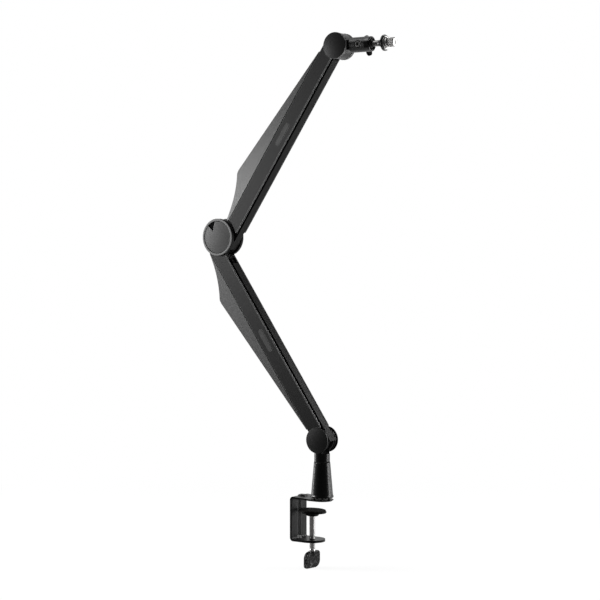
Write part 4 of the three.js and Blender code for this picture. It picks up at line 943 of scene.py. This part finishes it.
rise_steps, rise_share = 12, 0.97
peak_round = 4 * mm
spine_end = 374 * mm
flank_draft = 0.25
casing_width = 26.5 * mm
spine_mould = {"grain_size": 0.4 * mm, "cloud_size": 60 * mm, "wear_and_highlight_strength": 1.8, "ease": 0.5 * mm}
cover_gap = 0.3 * mm
case_roots = {"lower": 18.2 * mm, "upper": 28.6 * mm}
fins = (
    ("lower", 0.3, (14, 1, 60, 9, 93, 36.2, 0.9)),
    ("upper", 0.21, (35, 5, 80, 12, 110, 37.3, 1.1)),
)
for arm, shine, fin_sizes in fins:
    # Painted highlight: the cover's colour is a shade lighter than the shells'.
    spine_look = moulded_look(
        grey(0.006), grey(0.04), clouding=0.15, wear_and_highlight_share=0.6,
        dull=0.4, shine=shine, relief=0.018 * mm, **spine_mould,
    )
    spine_plastic = finish(f"charcoal_spine_{arm}", spine_look)
    fin = bmesh.new()
    rings = []
    for along, height in spine_ridge(*[size * mm for size in fin_sizes]):
        z = arm_length - along if arm == "lower" else along
        foot = case_roots[arm] + case_slope * z - casing_width - cover_gap
        crest, top_half = foot - height, case_half - flank_draft * height
        corners = [(foot, -case_half), (crest, -top_half), (crest, top_half), (foot, case_half)]
        rings.append([fin.verts.new((x, y, z)) for x, y in corners])
    skin(fin, rings)
    fin.faces.new(rings[0])
    fin.faces.new(rings[-1])
    cover = crisp(mesh_of(fin), 0.6 * mm)
    in_arm = arm_frame(*arms[arm])
    stand_for(f"{arm}_spine_cover", cover, in_arm, spine_plastic)

# Balance springs. Open coils of blackened 2.2 mm wire: one hook sits on the lever's pin, one
# on an anchor pin across the shells.
wire_radius = 1.1 * mm
coil_radius = 5.8 * mm
coil_turns = 8
coil_pitch = 13.5 * mm
lever_reach, anchor_depth = 12 * mm, 22.5 * mm
low_hook, high_hook = 3.15 * mm, 3.55 * mm
hook_depth = -1.2 * mm
straight_share = 0.88
coil_steps = 28
hook_steps = 12
wire_sides = 12


def wire_along(path, radius):
    """A round wire along a path, its ends closed and its section kept from twisting."""
    solid = bmesh.new()
    rings, across = [], Vector((0, 1, 0))
    for i, here in enumerate(path):
        ahead = (path[min(i + 1, len(path) - 1)] - path[max(i - 1, 0)]).normalized()
        across = (across - ahead * across.dot(ahead)).normalized()
        up = ahead.cross(across)
        turns = round_turns(wire_sides)
        ring = [here + (across * cos(a) + up * sin(a)) * radius for a in turns]
        rings.append([solid.verts.new(point) for point in ring])
    skin(solid, rings)
    solid.faces.new(rings[0][::-1])
    solid.faces.new(rings[-1])
    return mesh_of(solid)


def spring_path(pin, anchor):
    """Hook, straight tail, coil and hook, from the lever's pin to the anchor."""
    span = (anchor - pin).length
    axis = (anchor - pin).normalized()
    side = Vector((axis.z, 0, -axis.x))

    def at(height, out, deep):
        return pin + axis * height + side * out + Vector((0, deep, 0))

    def hook(centre, radius, way, deep):
        turns = [pi * i / hook_steps for i in range(hook_steps + 1)]
        return [at(centre - way * radius * sin(a), -radius * cos(a), deep) for a in turns]

    coil_top = span - high_hook - coil_radius
    coil_foot = coil_top - coil_turns * coil_pitch
    coil = []
    for i in range(coil_turns * coil_steps + 1):
        turn = 2 * pi * i / coil_steps
        height = coil_foot + coil_pitch * i / coil_steps
        coil.append(at(height, coil_radius * cos(turn), coil_radius * sin(turn)))
    path = [
        at(2 * low_hook, -low_hook, hook_depth),
        *hook(0, low_hook, 1, hook_depth),
        at(coil_foot * straight_share, low_hook, hook_depth),
        *coil,
        *hook(span, high_hook, -1, 0)[::-1],
        at(span - 2 * high_hook, -high_hook, 0),
    ]
    return path, at(0, 0, 0), at(coil_foot, 0, 0)


springs = (
    ("lower", 31.6, 305 * mm, "post", "lower_arm"),
    ("upper", 20, 300 * mm, "lower_arm", "upper_arm"),
)
for arm, angle, height, root_body, arm_body in springs:
    turn = radians(angle)
    pin = Vector((lever_reach * sin(turn), 0, lever_reach * cos(turn)))
    anchor = Vector((case_roots[arm] + case_slope * height - anchor_depth, 0, height))
    path, hooked, coiled = spring_path(pin, anchor)
    wire = wire_along(path, wire_radius)
    in_arm = arm_frame(*arms[arm])
    spring = stand_for(f"{arm}_spring", wire, in_arm, dark_steel, rigid=False)
    tuple(in_arm @ hooked)
    tuple(in_arm @ coiled)
    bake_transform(spring)
    dress(f"{arm}_spring_pin", pin_steel)

# Elbow caps. Wide, nearly flat discs of a greyer cap plastic inside the raised rim of the
# cheeks, each with a wedge notch at its edge for lifting it out, coloured near black inside as
# painted shade.
elbow_cap_radius = 27.7 * mm
notch_from, notch_to, notch_tip = radians(67), radians(103), radians(100)
notch_rim = elbow_cap_radius + 3 * mm
notch_reach = elbow_cap_radius * 0.5
notch_corners = ((notch_rim, notch_from), (notch_rim, notch_to), (notch_reach, notch_tip))
notch_points = [(out * cos(turn), out * sin(turn)) for out, turn in notch_corners]
notch_floor = 15.4 * mm
elbow_cap_look = moulded_look(
    grey(0.02), grey(0.055), clouding=0.2, wear_and_highlight_share=0.4,
    dull=0.4, shine=0.22, relief=0.03 * mm, **cap_mould,
)
recess_look = plain_look(
    grey(0.001), grey(0.004), cloud_size=1.2 * mm, grain_size=1.2 * mm,
    dull=0.8, duller=0.1, shine=0.03, relief=0.05 * mm, ease=0.2 * mm,
)
grey_cap = finish("elbow_cap_plastic", elbow_cap_look)
painted_notch_shade = finish("painted_notch_shade", recess_look)
at_elbow = arm_frame(elbow, lower_lean)
for side, flip in (("front", 1), ("rear", -1)):
    disc = turned(cap_profile(elbow_cap_radius, base=14.7 * mm, dome=1.1 * mm))
    wedge = extruded([(x, y * flip) for x, y in notch_points], notch_floor, 20 * mm)
    cap = crisp(boolean(disc, ("DIFFERENCE", wedge)), 0)
    made = stand_for(f"elbow_cap_{side}", cap, at_elbow @ facing[side], grey_cap)
    made.data.materials.append(painted_notch_shade)
    into = (at_elbow @ facing[side]).inverted()
    # Painted shade: the faces inside the notch take the near black second finish.
    for face in made.data.polygons:
        middle = into @ face.center
        across = hypot(middle.x, middle.y)
        turn = atan2(middle.y * flip, middle.x)
        in_wedge = notch_from < turn < notch_to and across > notch_reach * 0.9
        if in_wedge and notch_floor - 0.1 * mm < middle.z < cap_top - 1.2 * mm:
            face.material_index = 1

# Head knuckle. One zinc casting, coated black: an eye in the top hinge, a short neck and a
# barrel. The barrel is bored for the ball and slit, so that its bolt can close it. Towards the
# mouth the coat is smoother, without grain or lighter edges.
along_x = spun(90, "Y")
barrel_radius, barrel_back = 12.5 * mm, 7.5 * mm
eye_radius = 21.4 * mm
tongue_half = 9.2 * mm
barrel_from, barrel_to = 24.5 * mm, 64.4 * mm
bolt_x = 43.8 * mm
ball_x = 59 * mm
bore_radius = 8.9 * mm
mouth_from = 55 * mm
at_top = Matrix.Translation(top_pivot)


def casting_look(place):
    lump = speckle(place, 1.7 * mm, 4)
    fine = speckle(place, 0.5 * mm, 3)
    # Lighter edges: partly scuffing, partly painted highlight.
    worn_and_lit = edge_wear_and_highlight(place, 0.6 * mm, 2.0)
    mouth_end = clamped((coordinate(place, "X") - top_pivot.x - mouth_from) * 400)
    colour = between(place, grey(0.001), grey(0.06, 0.02), worn_and_lit * (0.3 + 0.7 * lump) * (1 - mouth_end))
    roughness = 0.3 + 0.14 * lump - 0.2 * mouth_end
    height = (0.7 * lump + 0.3 * fine) * (1 - mouth_end)
    return surface(colour, roughness, 0.3, bumped(place, height, 0.16 * mm, 0.4 * mm))


def ball_points(radius, reach, steps=14):
    """Half section of a ball from its back pole, to an angle measured from the front."""
    points = []
    for i in range(steps + 1):
        turn = pi - (pi - reach) * i / steps
        points.append((radius * sin(turn) if i else 0, ball_x + radius * cos(turn)))
    return points


rough_coat = finish("cast_powder_coat", casting_look)
barrel_profile = [
    (0, barrel_from),
    (barrel_back, barrel_from),
    (barrel_radius, barrel_from, 5 * mm),
    (barrel_radius, barrel_to, 1.2 * mm),
    (0, barrel_to),
]
barrel = placed(turned(barrel_profile), along_x)
eye = placed(rod(eye_radius, -tongue_half, tongue_half), facing["rear"])
neck_from, neck_to, neck_half = 7.3 * mm, barrel_from + 5 * mm, 8 * mm
neck = box((neck_from, -tongue_half, -neck_half), (neck_to, tongue_half, neck_half))
mouth_radius, past_mouth = 10.6 * mm, barrel_to + 3 * mm
mouth_profile = [
    *ball_points(bore_radius, radians(68)),
    (mouth_radius, barrel_to),
    (mouth_radius, past_mouth),
    (0, past_mouth),
]
mouth = placed(turned(mouth_profile), along_x)
slit_half, slit_from, past_barrel = 0.7 * mm, bolt_x - 9 * mm, 16 * mm
slit = box((slit_from, -slit_half, -past_barrel), (past_mouth, slit_half, past_barrel))
at_bolt = Matrix.Translation((bolt_x, 0, 0))
knuckle_steps = [("UNION", neck), ("UNION", barrel), ("DIFFERENCE", mouth), ("DIFFERENCE", slit)]
holes = {
    "clamp_bolt": (3.3 * mm, -past_barrel, past_barrel, 32, "rear", at_bolt),
    "hinge_bolt": (4.3 * mm, -12 * mm, 12 * mm, 48, "rear", here),
    "bolt_head": (6.5 * mm, 8.9 * mm, past_barrel, 64, "front", at_bolt),
    "wing_nut_flat": (6.8 * mm, 10.4 * mm, past_barrel, 64, "rear", at_bolt),
}
for radius, low, high, sides, side, where in holes.values():
    cutter = placed(rod(radius, low, high, sides), facing[side], where)
    knuckle_steps.append(("DIFFERENCE", cutter))
knuckle = crisp(boolean(eye, *knuckle_steps), 0.35 * mm)
stand_for("mic_knuckle", knuckle, at_top, rough_coat)

# Clamp bolt. A blackened M6 socket-head bolt, sunk in the front of the barrel. It runs across
# the slit to the wing nut at the rear.
bolt_head = 5.4 * mm, 9.2 * mm, 12.2 * mm
bolt_hexagon = 2.9 * mm, 1.8 * mm
bolt_shank = 3 * mm, -18.9 * mm
bolt = socket_screw(*bolt_head, *bolt_hexagon, *bolt_shank)
stand_for("clamp_bolt", bolt, at_top @ at_bolt @ facing["front"], dark_steel)

# Wing nut. A small zinc casting with two rounded wings, coated a duller black than the
# knuckle. It closes the barrel on the ball from the rear.
wing_foot, wing_top = 10.7 * mm, 17.7 * mm
lobe_radius, lobe_reach, lobe_height = 6 * mm, 11.2 * mm, 19.7 * mm
root_radius, root_height = 3.2 * mm, 14.9 * mm
hub_profile = [
    (0, wing_foot),
    (6.2 * mm, wing_foot, 0.3 * mm),
    (5.4 * mm, wing_top, 0.8 * mm),
    (0, wing_top),
]
rise = lobe_height - root_height
reach = hypot(rise, lobe_reach)
lobe_spread = degrees(acos((lobe_radius - root_radius) / reach))
lobe_lean = degrees(atan2(rise, lobe_reach))
lobe_half, lobe_ease = 2.7 * mm, 1.1 * mm
wing_voxel = 0.3 * mm
lobes = []
outline = outline_of(
    (0, root_height, root_radius, lobe_lean + 180 - lobe_spread, lobe_lean + 180 + lobe_spread),
    (lobe_reach, lobe_height, lobe_radius, lobe_lean - 180 + lobe_spread, lobe_lean + 180 - lobe_spread),
)
for flip in (1, -1):
    lobe = extruded([(x * flip, y) for x, y in outline], -lobe_half, lobe_half, lobe_ease)
    lobes.append(placed(lobe, spun(90, "X")))
wing_mesh = melted(wing_voxel, 5, turned(hub_profile), *lobes)
black_casting = finish("wing_powder_coat", recess_look)
wing_bore = rod(3.2 * mm, wing_foot - 2 * mm, wing_top + 3 * mm, 48)
wing_mesh = boolean(wing_mesh, ("DIFFERENCE", wing_bore))
wing_mesh.shade_smooth()
wing_mesh.set_sharp_from_angle(angle=radians(50))
at_wing = at_top @ at_bolt @ spun(-11, "Y") @ facing["rear"] @ spun(90, "Z")
stand_for("wing_nut", wing_mesh, at_wing, black_casting)

# Ball and stem. Turned in one from steel bar: ball, waisted stem and flange. Blackened, but
# brighter on the rubbed stem. A thin nylon cup lines the barrel behind the ball.
stem_radius = 5 * mm
ball_radius = 8 * mm
flare_from, flare_radius, flare_steps = 76.4 * mm, 12.7 * mm, 12
waist_radius, waist_height = 5.4 * mm, flare_from + 7.92 * mm
flange_back, flange_face = 87.4 * mm, 90.4 * mm
flange_radius = 13.3 * mm
stud_bore, stud_bore_end = 4.3 * mm, 83.4 * mm
bare_from, bare_to = 67 * mm, 81 * mm


def stem_look(place):
    x = coordinate(place, "X")
    past_ball = clamped((x - top_pivot.x - bare_from) * 400)
    bare = clamped((top_pivot.x + bare_to - x) * 180) * past_ball
    rings = lathe_lines(place, "X", 0.25 * mm)
    oil = speckle(place, 3 * mm, 3)
    # Lighter edges: partly scuffing, partly painted highlight.
    worn_and_lit = edge_wear_and_highlight(place, 0.5 * mm, 2.0)
    colour = between(place, grey(0.004), grey(0.3, 0.02), 0.05 * oil + 0.2 * worn_and_lit + bare * 0.45)
    normal = bumped(place, rings, 0.004 * mm, 0.3 * mm)
    return surface(colour, 0.24 + 0.14 * oil, 0.3, normal, metallic=0.3 + 0.6 * bare)


black_stem = finish("blackened_bar", stem_look)
# Painted shade: the seat is coloured near black, like the shaded inside of the barrel's mouth.
dress("ball_seat", dark_nylon_and_shade)
flare = []
for i in range(flare_steps + 1):
    radius = bent(stem_radius, waist_radius, flare_radius, i / flare_steps)
    flare.append((radius, bent(flare_from, waist_height, flange_back, i / flare_steps)))
stud_profile = [
    *ball_points(ball_radius, asin(stem_radius / ball_radius), 24),
    *flare,
    (flange_radius, flange_back + 0.3 * mm, 0.4 * mm),
    (flange_radius, flange_face, 0.6 * mm),
    (stud_bore, flange_face),
    (stud_bore, stud_bore_end),
    (0, stud_bore_end),
]
stand_for("ball_stud", turned(stud_profile), at_top @ along_x, black_stem)

# Thread adapter. Bright turned steel: a 5/8 inch thread of 27 turns to the inch, which takes
# the microphone's clip, and behind it a plain shoulder. Its pin sits in the flange's bore.
thread_crest = 7.94 * mm
thread_root = 7.55 * mm
thread_pitch = 25.4 * mm / 27
shoulder_back, shoulder_face = 93.7 * mm, 96.4 * mm
thread_end = 108.9 * mm
thread_look = steel_look("X", ring=0.12 * mm, shine=0.58, dull=0.5)
bright_thread = finish("bright_turned_steel", thread_look)
pin_radius, pin_end, seat = 4 * mm, 83.7 * mm, 90.7 * mm
shoulder_radius = 9.5 * mm
undercut_radius, undercut_end = 7.04 * mm, shoulder_face + 1.6 * mm
thread_start, nose_start = shoulder_face + 1.9 * mm, thread_end - 0.9 * mm
adapter = bmesh.new()
tail = [
    (0, pin_end),
    (pin_radius, pin_end),
    (pin_radius, seat),
    (thread_crest, seat),
    (thread_crest, shoulder_back),
    (shoulder_radius, shoulder_back, 0.4 * mm),
    (shoulder_radius, shoulder_face, 0.5 * mm),
    (undercut_radius, shoulder_face),
    (undercut_radius, undercut_end),
    (thread_root, thread_start),
]
nose = [
    (thread_root, nose_start),
    (thread_root - 0.9 * mm, thread_end),
    (3.2 * mm, thread_end, 0.3 * mm),
    (2.6 * mm, thread_end - 1 * mm),
    (0, thread_end - 1.4 * mm),
]
turn_on_lathe(adapter, eased(tail), 64)
cut_thread(adapter, thread_root, thread_crest, thread_pitch, thread_start, nose_start)
turn_on_lathe(adapter, eased(nose), 64)
stand_for("thread_adapter", mesh_of(adapter), at_top @ along_x, bright_thread)

# Lock ring. A bright ring that runs on the adapter's thread and is turned up against the
# clip; its rim is knurled straight.
ring_radius = 11 * mm
ring_back, ring_front = 90.7 * mm, 92.8 * mm
ring_bore, ring_ease = 8.24 * mm, 0.5 * mm
knurls, knurl_band, knurl_depth = 72, 0.2 * mm, 0.06 * mm
ring_profile = eased([
    (ring_bore, ring_back),
    (ring_radius, ring_back, ring_ease),
    (ring_radius, ring_front, ring_ease),
    (ring_bore, ring_front),
])
ring = bmesh.new()
turn_on_lathe(ring, ring_profile, knurls * 2, True)
for vert in ring.verts:
    outward = Vector((vert.co.x, vert.co.y)).length
    turn = atan2(vert.co.y, vert.co.x)
    groove = round(turn / (pi / knurls)) % 2
    if outward > ring_radius - knurl_band and groove:
        shrink = (outward - knurl_depth) / outward
        vert.co.x, vert.co.y = vert.co.x * shrink, vert.co.y * shrink
knurled = mesh_of(ring, radians(40))
stand_for("lock_ring", knurled, at_top @ along_x, bright_thread)

# Studio. A plain pale floor under a white surround. A broad soft box and a low strip stand at
# the left, a tall strip at the right, a weak box hangs above, and two small ones stand behind.
floor_height = -116.2 * mm
floor_half = 2.2
fade_from = 0.35
wall_edge = 2.5
corners = [(x * floor_half, y * floor_half, floor_height) for x, y in ((-1, -1), (1, -1), (1, 1), (-1, 1))]
floor_mesh = bpy.data.meshes.new("studio_floor")
floor_mesh.from_pydata(corners, [], [(0, 1, 2, 3)])
added("studio_floor", floor_mesh)


def ray(place, kind):
    """1 for light rays of one kind, such as those that the camera sees."""
    return place.add("ShaderNodeLightPath", {}, {}, out=f"Is {kind} Ray")


view_turn = radians(35.09)
behind = (-sin(view_turn), cos(view_turn), 0)
floor_paint = bpy.data.materials.new("studio_white")
spot = emptied(floor_paint, "Object")
paint = spot.add("ShaderNodeBsdfDiffuse", {}, {"Color": grey(0.85)})
back_half = clamped(vector("DOT_PRODUCT", spot, behind, 1) * wall_edge + 0.5)
shown = 1 - ray(spot, "Glossy") * (1 - back_half) * 0.9
glow = spot.add("ShaderNodeEmission", {}, {"Color": grey(1), "Strength": shown})
fade = clamped((vector("LENGTH", spot, out=1) - fade_from) * 1.2)
seen = clamped(ray(spot, "Camera") + ray(spot, "Glossy") + ray(spot, "Transmission"))
share = seen * (0.88 + 0.12 * fade)
floor_look = spot.add("ShaderNodeMixShader", {}, {0: share, 1: paint, 2: glow})
spot.add("ShaderNodeOutputMaterial", {}, {"Surface": floor_look})
floor_mesh.materials.append(floor_paint)

surround = bpy.data.worlds.new("white_surround")
bpy.context.scene.world = surround
sky = emptied(surround, "Generated")
white_wall = clamped(vector("DOT_PRODUCT", sky, behind, 1) * wall_edge - 0.25)
whole = clamped(ray(sky, "Camera") + ray(sky, "Transmission") + ray(sky, "Glossy") * white_wall)
level = 0.1 + 0.25 * ray(sky, "Diffuse") + 0.9 * whole
back = sky.add("ShaderNodeBackground", {}, {"Color": grey(1), "Strength": level})
sky.add("ShaderNodeOutputWorld", {}, {"Surface": back})


def soft_light(name, place, aim, width, height, power):
    data = bpy.data.lights.new(name, "AREA")
    data.shape = "RECTANGLE"
    data.size, data.size_y, data.energy = width, height, power
    lamp = added(name, data)
    lamp.location = place
    lamp.rotation_mode = "QUATERNION"
    lamp.rotation_quaternion = (Vector(aim) - Vector(place)).to_track_quat("-Z", "Y")


soft_light("left_softbox", (-1.28, -0.6, 0.6), (-0.1, 0, 0.52), 0.6, 0.5, 26)
soft_light("left_strip", (-1.1, -0.1, 0.04), (0, 0, 0.06), 0.16, 0.36, 2.2)
soft_light("right_strip", (1.03, 0.62, 0.4), (0, 0, 0.4), 0.26, 1.1, 16)
soft_light("top_softbox", (-0.6, -0.4, 1.75), (0.08, 0, 0.74), 0.6, 0.6, 6)
soft_light("back_high", (0.5, 1.25, 0.85), (0.03, 0, 0.13), 0.35, 0.35, 9)
soft_light("back_low", (0.8, 1.15, 0.05), (-0.04, 0, -0.03), 0.4, 0.4, 3.2)

view_dip = radians(2.11)
camera_data = bpy.data.cameras.new("photo_view")
camera_data.sensor_width = 36
camera_data.lens = 104.76
camera = added("photo_view", camera_data)
camera.location = (1.654, -2.419, 0.4465)
camera.rotation_euler = (pi / 2 - view_dip, 0, view_turn)
bpy.context.scene.camera = camera
bpy.context.scene.view_settings.view_transform = "Standard"
